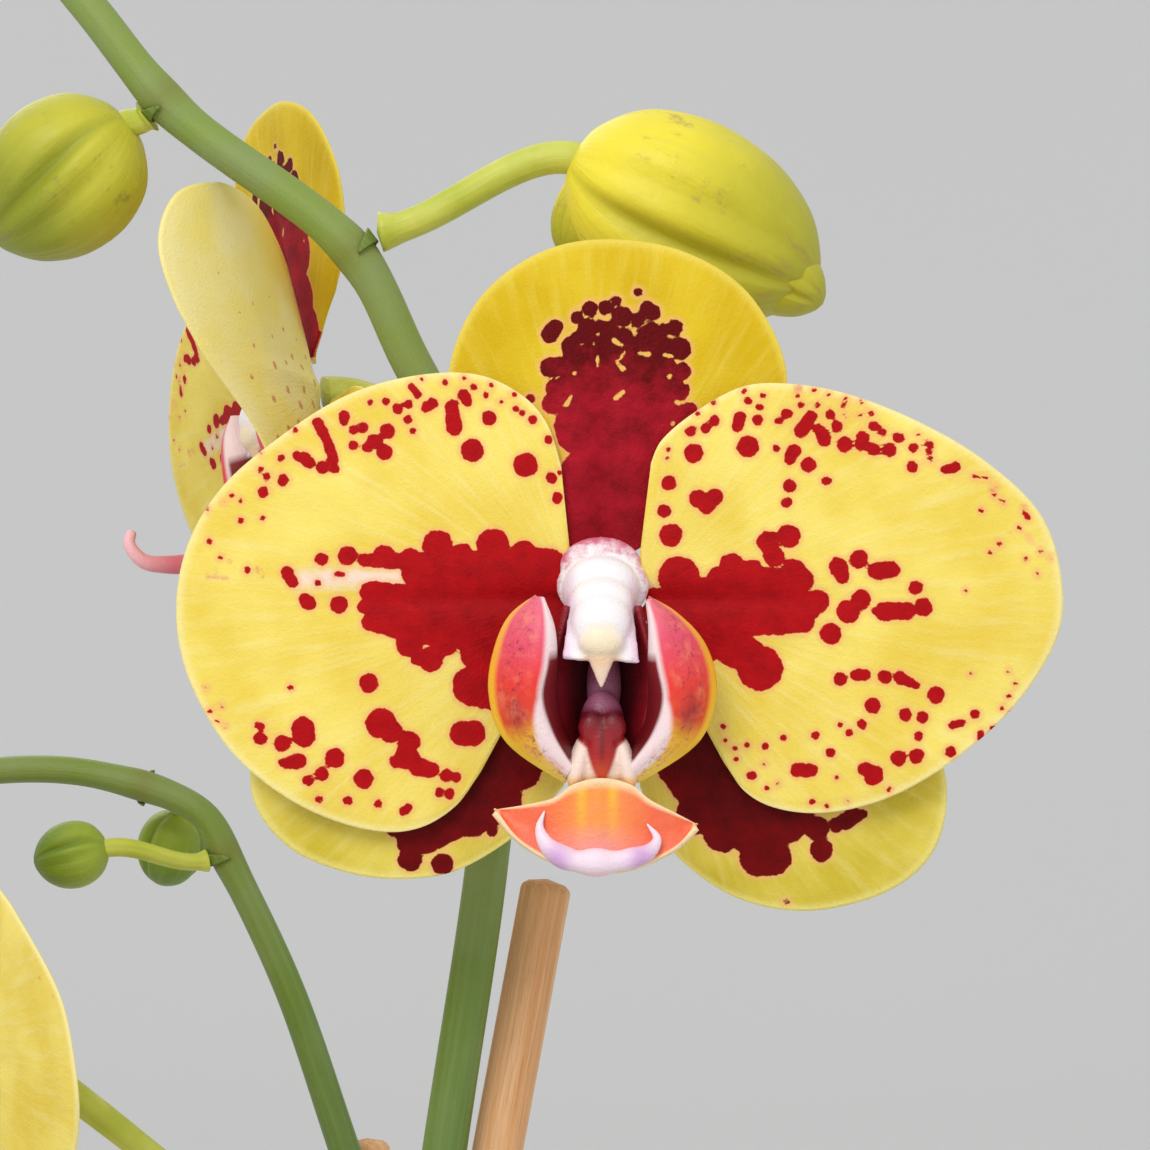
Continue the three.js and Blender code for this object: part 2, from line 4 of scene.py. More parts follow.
import bpy
import numpy as np
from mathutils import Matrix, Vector


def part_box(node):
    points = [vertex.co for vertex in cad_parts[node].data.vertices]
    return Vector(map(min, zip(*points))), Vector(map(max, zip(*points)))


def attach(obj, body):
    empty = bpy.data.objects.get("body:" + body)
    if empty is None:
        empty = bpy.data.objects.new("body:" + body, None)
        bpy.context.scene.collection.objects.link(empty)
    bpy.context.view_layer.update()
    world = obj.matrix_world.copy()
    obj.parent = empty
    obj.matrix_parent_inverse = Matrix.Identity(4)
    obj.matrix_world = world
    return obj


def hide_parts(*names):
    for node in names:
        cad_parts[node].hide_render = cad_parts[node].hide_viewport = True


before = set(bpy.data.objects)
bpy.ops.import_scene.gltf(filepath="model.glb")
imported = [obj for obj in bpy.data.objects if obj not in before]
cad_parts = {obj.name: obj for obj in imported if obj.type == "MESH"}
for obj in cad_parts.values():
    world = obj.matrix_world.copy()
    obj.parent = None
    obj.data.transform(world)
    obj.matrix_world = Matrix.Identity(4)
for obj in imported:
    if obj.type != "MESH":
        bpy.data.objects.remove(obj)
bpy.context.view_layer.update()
bpy.ops.object.select_all(action="DESELECT")

# ---------- pot ----------
# A thrown earthenware pot with a thick rolled rim, dipped in a cream tin glaze. The glaze
# pools under the rim and breaks to a buff body at the foot, which is wiped clean to stand on.

MM = 0.001  # every size below is in millimetres


def shade(red, green, blue):
    """An sRGB colour, 0 to 255, as the linear colour that a socket takes."""
    parts = [c / 255 for c in (red, green, blue)]
    return (*[c / 12.92 if c <= 0.04045 else ((c + 0.055) / 1.055) ** 2.4 for c in parts], 1.0)


class Signal:
    """What runs along a wire of a finish, so that sums can be written as sums."""

    def __init__(self, finish, socket):
        self.finish = finish
        self.socket = socket

    def math(self, operation, *values):
        return self.finish.node("Math", {"operation": operation}, dict(enumerate(values)))

    def __add__(self, other):
        return self.math("ADD", self, other)

    def __sub__(self, other):
        return self.math("SUBTRACT", self, other)

    def __rsub__(self, other):
        return self.math("SUBTRACT", other, self)

    def __mul__(self, other):
        return self.math("MULTIPLY", self, other)

    __radd__ = __add__
    __rmul__ = __mul__

    def size(self):
        return self.math("ABSOLUTE", self)

    def most(self, other):
        return self.math("MAXIMUM", self, other)


class Finish:
    """One material, with what never varies set on its shader."""

    def __init__(self, name, constants):
        self.material = bpy.data.materials.new(name)
        self.material.use_nodes = True
        self.tree = self.material.node_tree
        self.shader = self.tree.nodes["Principled BSDF"]
        for socket, value in constants.items():
            self.shader.inputs[socket].default_value = value

    def node(self, kind, settings, inputs, output=0):
        made = self.tree.nodes.new("ShaderNode" + kind)
        for setting, value in settings.items():
            setattr(made, setting, value)
        for key, value in inputs.items():
            if isinstance(value, Signal):
                self.tree.links.new(value.socket, made.inputs[key])
            else:
                made.inputs[key].default_value = value
        return Signal(self, made.outputs[output])

    def place(self):
        return self.node("TexCoord", {}, {}, 3)

    def attribute(self, name, output=2):
        return self.node("Attribute", {"attribute_name": name}, {}, output)

    def axes(self, vector):
        return [self.node("SeparateXYZ", {}, {0: vector}, axis) for axis in range(3)]

    def stretch(self, vector, scale, turn=(0, 0, 0)):
        return self.node("Mapping", {}, {"Vector": vector, "Rotation": turn, "Scale": scale})

    def noise(self, vector, scale, detail=3.0, roughness=0.5):
        inputs = {"Vector": vector, "Scale": scale, "Detail": detail, "Roughness": roughness}
        return self.node("TexNoise", {}, inputs)

    def dots(self, vector, scale, jitter=1.0):
        return self.node("TexVoronoi", {}, {"Vector": vector, "Scale": scale, "Randomness": jitter})

    def ramp(self, value, low, high):
        """Rises smoothly from 0 at low to 1 at high."""
        inputs = {"Value": value, "From Min": low, "From Max": high}
        return self.node("MapRange", {"interpolation_type": "SMOOTHSTEP"}, inputs)

    def mix(self, share, first, second):
        return self.node("Mix", {"data_type": "RGBA"}, {0: share, 6: first, 7: second}, 2)

    def send(self, socket, signal):
        self.tree.links.new(signal.socket, self.shader.inputs[socket])

    def relief(self, height, depth, strength=1.0):
        inputs = {"Height": height, "Distance": depth, "Strength": strength}
        self.send("Normal", self.node("Bump", {}, inputs))


def finish_piece(piece, name, stands_for, finish):
    piece.name = piece.data.name = name
    piece.data.materials.clear()
    piece.data.materials.append(finish.material)
    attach(piece, "root")
    if stands_for:
        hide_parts(stands_for)
    piece.select_set(False)
    return piece


def apply_modifier(piece, kind, **settings):
    modifier = piece.modifiers.new(kind.title(), kind)
    for setting, value in settings.items():
        setattr(modifier, setting, value)
    bpy.context.view_layer.objects.active = piece
    bpy.ops.object.modifier_apply(modifier=modifier.name)


def join(pieces):
    bpy.ops.object.select_all(action="DESELECT")
    for piece in pieces:
        piece.select_set(True)
    bpy.context.view_layer.objects.active = pieces[0]
    bpy.ops.object.join()
    return pieces[0]


def outward_normals(weld=1e-6):
    bpy.ops.object.mode_set(mode="EDIT")
    bpy.ops.mesh.select_all(action="SELECT")
    bpy.ops.mesh.remove_doubles(threshold=weld)
    bpy.ops.mesh.normals_make_consistent(inside=False)
    bpy.ops.object.mode_set(mode="OBJECT")


_, pot_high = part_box("pot")
pot_top = pot_high.z
foot_radius, rim_radius = 46 * MM, pot_high.x
# radius and height up the outside, over the rim and down to the floor inside
pot_turns = [
    (60 * MM, pot_top - 10 * MM), (62.4 * MM, pot_top - 9 * MM), (rim_radius, pot_top - 7 * MM),
    (rim_radius, pot_top - 2 * MM), (61 * MM, pot_top), (58.4 * MM, pot_top),
    (56.6 * MM, pot_top - 2 * MM), (41.6 * MM, 6.1 * MM),
]
bpy.ops.mesh.primitive_circle_add(vertices=128, radius=44.4 * MM, fill_type="NGON")
pot = bpy.context.object
bpy.ops.object.mode_set(mode="EDIT")
bpy.ops.mesh.select_all(action="SELECT")
radius, level = 44.4 * MM, 0.0
for next_radius, next_level in [(foot_radius, 1.6 * MM), *pot_turns]:
    rise = {"value": (0, 0, next_level - level)}
    bpy.ops.mesh.extrude_region_move(TRANSFORM_OT_translate=rise)
    spread = next_radius / radius
    bpy.ops.transform.resize(value=(spread, spread, 1), center_override=(0, 0, next_level))
    radius, level = next_radius, next_level
bpy.ops.object.mode_set(mode="OBJECT")
outward_normals()
apply_modifier(pot, "BEVEL", width=1.1 * MM, segments=4, angle_limit=math.radians(25))
bpy.ops.object.shade_smooth_by_angle(angle=math.radians(40))

glaze = Finish("cream_glaze", {"Specular IOR Level": 0.5, "Coat Roughness": 0.08})
spot = glaze.place()
_, _, height = glaze.axes(spot)
clouds = glaze.noise(spot, 28, 4)
body = glaze.mix(glaze.ramp(clouds, 0.35, 0.7), shade(232, 226, 210), shade(214, 204, 182))
pooled = glaze.ramp(height, pot_top - 16 * MM, pot_top - 10 * MM) * (
    1 - glaze.ramp(height, pot_top - 9.5 * MM, pot_top - 7 * MM)
)
body = glaze.mix(pooled * 0.55, body, shade(176, 160, 128))
rings = glaze.noise(glaze.stretch(spot, (6, 6, 420)), 1.0, 3)
body = glaze.mix(glaze.ramp(rings, 0.55, 0.8) * 0.25, body, shade(196, 182, 152))
fleck_size = glaze.noise(spot, 160, 1)
flecks = 1 - glaze.ramp(glaze.dots(spot, 330) + 0.16 * fleck_size, 0.16, 0.24)
body = glaze.mix(flecks * 0.8, body, shade(104, 74, 46))
bare = 1 - glaze.ramp(height + 0.0016 * clouds, 3.2 * MM, 4 * MM)
body = glaze.mix(bare, body, shade(186, 142, 98))
glaze.send("Base Color", body)
glaze.send("Roughness", 0.22 + 0.6 * bare + 0.1 * clouds)
glaze.send("Coat Weight", 0.5 - 0.5 * bare)
glaze.relief(rings + 0.25 * clouds + 0.4 * bare * glaze.noise(spot, 900, 2), 0.35 * MM)
finish_piece(pot, "pot_glazed", "pot", glaze)

# ---------- bark medium ----------
# Graded pine bark chips over a bed of finer dark compost. The bed is cast round the crown and
# the stakes, and the loose chips lie on it in every direction.

bed = Finish("bark_bed", {"Specular IOR Level": 0.2})
spot = bed.place()
crumbs = bed.dots(spot, 420)
damp = bed.noise(spot, 60, 4)
bed.send("Base Color", bed.mix(bed.ramp(damp, 0.35, 0.7), shade(52, 34, 22), shade(92, 62, 40)))
bed.send("Roughness", 0.8 + 0.15 * damp)
bed.relief(crumbs + 0.5 * bed.noise(spot, 1400, 3), 1.4 * MM)
bark_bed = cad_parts["bark_medium"]
bark_bed.data.materials.clear()
bark_bed.data.materials.append(bed.material)

chips_finish = Finish("bark_chip", {"Specular IOR Level": 0.25})
spot = chips_finish.place()
layers = chips_finish.noise(chips_finish.stretch(spot, (220, 220, 1400)), 1.0, 4, 0.65)
mottle = chips_finish.noise(spot, 130, 3)
tan = chips_finish.ramp(mottle, 0.35, 0.65)
wood = chips_finish.mix(tan, shade(92, 56, 34), shade(150, 102, 66))
wood = chips_finish.mix(chips_finish.ramp(layers, 0.55, 0.8) * 0.7, wood, shade(58, 36, 24))
chips_finish.send("Base Color", wood)
chips_finish.send("Roughness", 0.72 + 0.2 * layers)
chips_finish.relief(layers, 0.8 * MM)

dice = random.Random(11)
_, bark_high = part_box("bark_medium")
chip_count, chip_shapes = 330, 5
chips_within, bed_radius, off_root = 51, 53.5, 5.5
chip_models = []
for _ in range(chip_shapes):
    bpy.ops.mesh.primitive_cube_add(size=1)
    chip = bpy.context.object
    bpy.ops.object.mode_set(mode="EDIT")
    bpy.ops.mesh.subdivide(number_cuts=1)
    bpy.ops.object.mode_set(mode="OBJECT")
    for corner in chip.data.vertices:
        corner.co *= 1 - 0.34 * (corner.co.length - 0.5)
        corner.co += Vector([dice.uniform(-0.1, 0.1) for _ in range(3)])
    chip_models.append(chip)
# what stands in the bark: middle, and how far the chips keep off it
standing = [((0, 0), 12), ((-3, -12.2), 6), ((0, 12.3), 6), ((26, 24), 6), ((-16.2, -11.8), 6)]
roots_on_bark = [((9, -3), (40, -14)), ((40, -16), (41, -30)), ((8, 4.7), (45, 11))]
roots_on_bark += [((3, -9), (14, -46)), ((-4.6, 8), (-24, 42))]


def off_the_roots(x, y):
    for (ax, ay), (bx, by) in roots_on_bark:
        run = (bx - ax) ** 2 + (by - ay) ** 2
        share = min(1, max(0, ((x - ax) * (bx - ax) + (y - ay) * (by - ay)) / run))
        if math.hypot(x - ax - share * (bx - ax), y - ay - share * (by - ay)) < off_root:
            return False
    return all(math.hypot(x - sx, y - sy) > keep for (sx, sy), keep in standing)


chips = []
while len(chips) < chip_count:
    distance, around = chips_within * math.sqrt(dice.random()), dice.uniform(0, 2 * math.pi)
    x, y = distance * math.cos(around), distance * math.sin(around)
    size = dice.uniform(5.5, 12)
    if not off_the_roots(x, y) or distance + size / 2 > bed_radius:
        continue
    model = dice.choice(chip_models)
    chip = model.copy()
    chip.data = model.data.copy()
    bpy.context.scene.collection.objects.link(chip)
    chip.scale = (size * MM, size * dice.uniform(0.5, 0.8) * MM, dice.uniform(1.6, 3.2) * MM)
    lean = [dice.uniform(-0.35, 0.35), dice.uniform(-0.35, 0.35), dice.uniform(0, 6.3)]
    chip.rotation_euler = lean
    chip.location = (x * MM, y * MM, bark_high.z - dice.uniform(-0.6, 1.8) * MM)
    chips.append(chip)
for model in chip_models:
    bpy.data.objects.remove(model)
bark_chips = join(chips)
bpy.ops.object.transform_apply(location=True, rotation=True, scale=True)
finish_piece(bark_chips, "bark_chips", None, chips_finish)

# ---------- crown and leaves ----------
# Six fleshy leaves in two ranks, each folded along its midrib and arching over under its own
# weight. Their bases wrap one over the other and make the short crown.


def vertex_places(piece):
    flat = np.zeros(len(piece.data.vertices) * 3)
    piece.data.vertices.foreach_get("co", flat)
    return flat.reshape(-1, 3)


def set_layer(piece, name, values):
    """A value, a place or a colour for every point, which a finish reads by its name."""
    width = 1 if values.ndim == 1 else values.shape[1]
    kind, field = {1: ("FLOAT", "value"), 3: ("FLOAT_VECTOR", "vector"),
                   4: ("FLOAT_COLOR", "color")}[width]
    layers = piece.data.attributes
    layer = layers.get(name) or layers.new(name, kind, "POINT")
    layer.data.foreach_set(field, np.ascontiguousarray(values, float).ravel())


def add_sheet(columns, rows, surface, thickness=0, edge_share=1.0, rolled=False):
    """A grid laid on surface(across, along), which runs 0 to 1 both ways and gives millimetres."""
    bpy.ops.object.select_all(action="DESELECT")
    bpy.ops.mesh.primitive_grid_add(
        x_subdivisions=columns, y_subdivisions=rows, size=1, calc_uvs=True
    )
    sheet = bpy.context.object
    flat = vertex_places(sheet) + 0.5
    across, along = flat[:, 0].clip(0, 1), flat[:, 1].clip(0, 1)
    places, attributes = surface(across, along)
    sheet.data.vertices.foreach_set("co", (places * MM).ravel())
    for name, values in attributes.items():
        set_layer(sheet, name, np.asarray(values))
    sheet.data.update()
    if rolled:
        outward_normals()
    if thickness:
        rim = sheet.vertex_groups.new(name="rim")
        nearness = np.minimum.reduce([across, 1 - across, 1 - along]) / 0.06
        for index, near in enumerate(nearness.clip(0, 1)):
            rim.add([index], float(edge_share + (1 - edge_share) * near), "REPLACE")
        apply_modifier(sheet, "SOLIDIFY", thickness=thickness * MM, offset=0,
                       use_even_offset=False, vertex_group="rim")
        sheet.vertex_groups.clear()
        half = len(sheet.data.vertices) // 2
        set_layer(sheet, "front", np.array([1.0] * half + [0.0] * half))
    bpy.ops.object.shade_smooth()
    return sheet


def heading(degrees):
    return np.array([math.cos(math.radians(degrees)), math.sin(math.radians(degrees)), 0.0])


UP = np.array([0.0, 0.0, 1.0])
crown_radius, seat_gap, leaf_thickness = 9, 0.3, 2.4


def leaf_surface(turn, height, length, width, rise, droop, wave):
    out = heading(turn)
    sideways = np.array([-out[1], out[0], 0])
    first = math.radians(rise)
    sweep = math.radians(droop) - first
    start = crown_radius + seat_gap + math.sin(first) * leaf_thickness / 2

    def surface(across, along):
        angle = first + sweep * along
        reach = length * (np.sin(angle) - math.sin(first)) / sweep
        lift = length * (math.cos(first) - np.cos(angle)) / sweep
        swell = 0.22 + 0.78 * np.sin(math.pi / 2 * np.minimum(1, along / 0.5))
        taper = np.sqrt(1 - 0.985 * np.maximum(0, (along - 0.5) / 0.5) ** 2.4)
        offset = (across - 0.5) * width * swell * taper
        channel = 0.16 * (np.hypot(offset, 4) - 4) * (1 - 0.5 * along)
        margin = np.abs(across - 0.5) * 2
        channel += 1.3 * wave * margin**3 * np.sin(9 * along + 3 * (across > 0.5)) * along
        channel -= 0.9 * np.exp(-((offset / 1.6) ** 2)) * (1 - along)
        outward = start + reach
        places = out * outward[:, None] + UP * (height + lift)[:, None] + sideways * offset[:, None]
        places += UP * (np.cos(angle) * channel)[:, None] - out * (np.sin(angle) * channel)[:, None]
        return places, {"blade": np.column_stack([offset, along * length, margin])}

    return surface


leaf = Finish("leaf_skin", {"Specular IOR Level": 0.45, "Coat Weight": 0.12, "Coat Roughness": 0.3})
blade = leaf.attribute("blade", 1)
offset, _, margin = leaf.axes(blade)
face = leaf.attribute("front")
broad = leaf.noise(leaf.stretch(blade, (0.05, 0.018, 0)), 1.0, 3)
lines = leaf.noise(leaf.stretch(blade, (1.5, 0.012, 0)), 1.0, 3, 0.6)
green = leaf.mix(leaf.ramp(broad, 0.3, 0.7), shade(44, 78, 30), shade(82, 118, 48))
green = leaf.mix(leaf.ramp(lines, 0.45, 0.75) * 0.35, green, shade(104, 138, 62))
green = leaf.mix((1 - leaf.ramp(offset.size(), 0.4, 2.4)) * 0.45, green, shade(128, 156, 78))
green = leaf.mix(leaf.ramp(margin, 0.96, 1.0) * 0.4, green, shade(112, 92, 60))
under = leaf.mix(leaf.ramp(broad, 0.4, 0.7), shade(96, 126, 66), shade(110, 104, 72))
green = leaf.mix(1 - face, green, under)
scars = 1 - leaf.ramp(leaf.dots(leaf.stretch(blade, (0.09, 0.05, 0)), 1.0), 0.05, 0.09)
green = leaf.mix(scars * 0.5, green, shade(150, 146, 96))
leaf.send("Base Color", green)
leaf.send("Roughness", 0.3 + 0.14 * broad + 0.2 * scars)
leaf.relief(lines + 0.3 * broad, 0.25 * MM)

# name, heading, height on the crown, length, width, rise, droop, wave of the margin
leaves = [
    ("leaf_left_lower", 159, 112, 215, 82, 30, -48, 1.0),
    ("leaf_left_middle", 150, 122, 190, 76, 44, -30, -0.8),
    ("leaf_left_upper", 158, 129, 118, 50, 62, 8, 0.4),
    ("leaf_right_lower", 339, 113, 205, 80, 34, -42, -1.0),
    ("leaf_right_middle", 331, 124, 170, 70, 50, -18, 0.7),
    ("leaf_right_upper", 336, 130, 74, 32, 72, 30, 0.3),
]
for node, *form in leaves:
    blade_piece = add_sheet(44, 110, leaf_surface(*form), leaf_thickness, 0.45)
    finish_piece(blade_piece, node + "_blade", node, leaf)

crown_low, crown_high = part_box("crown")


def crown_surface(across, along):
    """Sheaths that overlap in turn, open to one side and then to the other."""
    around = 2 * math.pi * across
    level = crown_low.z / MM + along * (crown_high.z - crown_low.z) / MM
    plane = math.radians(155)
    radius = 7.6 + 0.9 * np.cos(2 * (around - plane))
    for top, side in [(113, 1), (118, -1), (124, 1), (129, -1), (134, 1)]:
        collar = top + 4.5 * side * np.cos(around - plane)
        radius -= 0.62 / (1 + np.exp(-(level - collar) * 2.2))
    radius *= np.sqrt(np.clip((139 - level) / 5, 0, 1)) * np.sqrt(np.clip((level - 87) / 2, 0, 1))
    places = np.column_stack([radius * np.cos(around), radius * np.sin(around), level])
    return places, {"blade": np.column_stack([radius * around, level, 0 * level])}


crown_skin = Finish("crown_skin", {"Specular IOR Level": 0.4})
blade = crown_skin.attribute("blade", 1)
lines = crown_skin.noise(crown_skin.stretch(blade, (0.8, 0.04, 0)), 1.0, 3)
base = crown_skin.mix(crown_skin.ramp(lines, 0.35, 0.7), shade(92, 116, 52), shade(134, 146, 82))
crown_skin.send("Base Color", base)
crown_skin.send("Roughness", 0.4 + 0.2 * lines)
crown_skin.relief(lines, 0.3 * MM)
crown = add_sheet(72, 90, crown_surface, rolled=True)
finish_piece(crown, "crown_sheaths", "crown", crown_skin)

# ---------- roots ----------
# Air roots as thick as a pencil lead, wrapped in spongy silver velamen that greens when damp.
# Two climb over the rim and hang, and two lie on the bark, each with a smooth green tip.


def smooth_route(points, count):
    """Evenly spaced points on a smooth line through the given ones, ends included."""
    points = np.array(points, float)
    knots = np.vstack([2 * points[0] - points[1], points, 2 * points[-1] - points[-2]])
    share = np.linspace(0, 1, 30, endpoint=False)[:, None]
    dense = []
    for before, start, end, after in zip(knots, knots[1:], knots[2:], knots[3:]):
        gaps = [np.linalg.norm(b - a) ** 0.5 for a, b in
                ((before, start), (start, end), (end, after))]
        leave = (start - before) / gaps[0] - (end - before) / (gaps[0] + gaps[1])
        leave = (leave + (end - start) / gaps[1]) * gaps[1]
        arrive = (end - start) / gaps[1] - (after - start) / (gaps[1] + gaps[2])
        arrive = (arrive + (after - end) / gaps[2]) * gaps[1]
        dense.append(
            (2 * share**3 - 3 * share**2 + 1) * start + (share**3 - 2 * share**2 + share) * leave
            + (3 * share**2 - 2 * share**3) * end + (share**3 - share**2) * arrive
        )
    return evenly(np.vstack([*dense, points[-1]]), count)


def evenly(line, count):
    steps = np.linalg.norm(np.diff(line, axis=0), axis=1)
    travelled = np.concatenate([[0], np.cumsum(steps)])
    even = np.linspace(0, travelled[-1], count)
    return np.column_stack([np.interp(even, travelled, line[:, axis]) for axis in range(3)])


def add_stem(route, radius_at, sides, round_ends=(0.0, 0.0)):
    """A grid rolled round a route. radius_at(share, angle) gives millimetres."""
    count = len(route)
    forward = np.gradient(route, axis=0)
    forward /= np.linalg.norm(forward, axis=1)[:, None]
    sideways = np.zeros_like(route)
    guide = np.array([0, -1.0, 0.02]) if abs(forward[0][1]) < 0.8 else UP
    for k in range(count):
        guide = guide - forward[k] * guide.dot(forward[k])
        guide /= np.linalg.norm(guide)
        sideways[k] = guide
    third = np.cross(forward, sideways)
    length = np.linalg.norm(np.diff(route, axis=0), axis=1).sum()

    def surface(across, along):
        ring = np.rint(along * (count - 1)).astype(int)
        share = ring / (count - 1)
        angle = 2 * math.pi * across + math.pi
        radius = radius_at(share, angle)
        for end, reach in zip((share, 1 - share), round_ends):
            if reach:
                near = np.clip(end * length / reach, 0, 1)
                radius = radius * np.sqrt(np.clip(1 - (1 - near) ** 2, 0, 1))
        radius = np.where((ring == 0) | (ring == count - 1), 0, radius)
        ring_out = (np.cos(angle) * radius)[:, None] * sideways[ring]
        ring_out += (np.sin(angle) * radius)[:, None] * third[ring]
        grain = np.column_stack([radius * np.cos(angle), radius * np.sin(angle), share * length])
        return route[ring] + ring_out, {"grain": grain}

    return add_sheet(sides, count - 1, surface, rolled=True)


def distance_along(stem):
    """How far along its route each point of a stem lies, in millimetres, from its grain."""
    grain = np.zeros(len(stem.data.vertices) * 3)
    stem.data.attributes["grain"].data.foreach_get("vector", grain)
    return grain[2::3]


velamen = Finish("velamen", {"Specular IOR Level": 0.3})
grain = velamen.attribute("grain", 1)
patches = velamen.noise(grain, 0.16, 4)
pores = velamen.noise(grain, 3.5, 3, 0.7)
skin = velamen.mix(velamen.ramp(patches, 0.35, 0.65), shade(196, 200, 186), shade(146, 160, 122))
skin = velamen.mix(velamen.ramp(pores, 0.5, 0.8) * 0.5, skin, shade(112, 118, 88))
tip = velamen.attribute("tip")
skin = velamen.mix(tip, skin, shade(116, 146, 60))
velamen.send("Base Color", skin)
velamen.send("Roughness", 0.75 - 0.4 * tip)
velamen.relief(pores + patches, 0.3 * MM)

root_routes = {
    "root_front": [(2.9, -8.9, 109), (8, -26, 112), (14, -46, 119), (18, -61, 121.6),
                   (20.5, -70, 115), (21, -74, 96), (19, -73, 74)],
    "root_back": [(-4.65, 8.05, 106), (-12, 20, 107.5), (-22, 38, 115), (-31, 54, 121.6),
                  (-37, 63.5, 117), (-39, 68, 100), (-38, 68, 84)],
    "root_right": [(8.1, 4.7, 107), (20, 10, 106.2), (34, 14, 105.6), (45, 11, 105.2)],
    "root_under_leaf": [(9.3, -0.9, 106.6), (24, -6, 106), (38, -16, 105.6), (41, -30, 105.2)],
}
for node, points in root_routes.items():
    knots = np.array([dice.uniform(-1, 1) for _ in range(14)])

    def root_radius(share, angle):
        lumps = np.interp(share, np.linspace(0, 1, 14), knots)
        dents = 0.03 * np.cos(3 * angle + 8 * share)
        return 2.4 * (1 - 0.2 * share) * (0.97 + 0.045 * lumps + dents)

    root = add_stem(smooth_route(points, 150), root_radius, 20, (0, 4))
    run = distance_along(root)
    set_layer(root, "tip", np.clip((run - run.max() + 9) / 5, 0, 1))
    finish_piece(root, node + "_velamen", node, velamen)

# ---------- stakes ----------
# Turned softwood dowels pushed deep into the bark, where they are soiled. The tops are sanded
# round, and the grain runs their whole length.

wood = Finish("stake_dowel", {"Specular IOR Level": 0.3})
grain = wood.attribute("grain", 1)
rays = wood.noise(wood.stretch(grain, (1.1, 1.1, 0.02)), 1.0, 4, 0.6)
fibres = wood.noise(wood.stretch(grain, (7, 7, 0.09)), 1.0, 3, 0.6)
warm = wood.mix(wood.ramp(rays, 0.3, 0.7), shade(222, 162, 108), shade(242, 194, 146))
warm = wood.mix(wood.ramp(fibres, 0.52, 0.8) * 0.6, warm, shade(166, 104, 62))
_, _, travelled = wood.axes(grain)
soiled = 1 - wood.ramp(travelled + 14 * rays, 84, 112)
warm = wood.mix(soiled * 0.6, warm, shade(104, 72, 46))
wood.send("Base Color", warm)
wood.send("Roughness", 0.55 + 0.25 * fibres)
wood.relief(fibres + 0.4 * rays, 0.22 * MM)

stake_radius = 2.75
stakes = {"main_stake": [(-31.7, -16.6, 20), (38, 5, 396.8)],
          "second_stake": [(26, 24, 20), (15.7, 51.5, 361.5)]}
for node, ends in stakes.items():
    line = evenly(np.array(ends, float), 900)
    dowel = add_stem(line, lambda share, angle: 0 * share + stake_radius, 32, (0.8, 1.3))
    finish_piece(dowel, node + "_dowel", node, wood)

# ---------- flower spikes ----------
# Each spike is one growth from the crown: a smooth green stalk with a joint every few
# centimetres. A short green bract sheathes each joint, and a waxy bloom dulls the upper half.

stem_skin = Finish("spike_skin", {"Specular IOR Level": 0.4})
grain = stem_skin.attribute("grain", 1)
spot = stem_skin.place()
_, _, height = stem_skin.axes(spot)
streaks = stem_skin.noise(stem_skin.stretch(grain, (1.4, 1.4, 0.035)), 1.0, 4, 0.6)
clouds = stem_skin.noise(grain, 0.1, 4)
upper = stem_skin.ramp(height, 0.33, 0.44)
green = stem_skin.mix(upper, shade(64, 98, 18), shade(132, 152, 66))
green = stem_skin.mix(stem_skin.ramp(streaks, 0.4, 0.75) * 0.4, green, shade(124, 152, 68))
bloom = stem_skin.ramp(clouds + 0.3 * streaks, 0.5, 0.8) * (0.05 + 0.5 * upper)
green = stem_skin.mix(bloom, green, shade(136, 150, 104))
knots_mask = stem_skin.attribute("joint")
green = stem_skin.mix(knots_mask * 0.55, green, shade(120, 120, 44))
stem_skin.send("Base Color", green)
stem_skin.send("Roughness", 0.38 + 0.25 * bloom + 0.1 * streaks)
stem_skin.relief(streaks + 0.5 * stem_skin.noise(grain, 5, 2), 0.12 * MM)

bract_skin = Finish("bract_skin", {"Specular IOR Level": 0.3})
blade = bract_skin.attribute("blade", 1)
_, run, _ = bract_skin.axes(blade)
lines = bract_skin.noise(bract_skin.stretch(blade, (3.2, 0.25, 0)), 1.0, 3, 0.6)
sheath = bract_skin.mix(bract_skin.ramp(lines, 0.35, 0.7), shade(96, 122, 44), shade(126, 142, 66))
sheath = bract_skin.mix(bract_skin.ramp(run + 0.8 * lines, 3.4, 5.6), sheath, shade(140, 128, 70))
bract_skin.send("Base Color", sheath)
bract_skin.send("Roughness", 0.55 + 0.2 * lines)
bract_skin.relief(lines, 0.15 * MM)

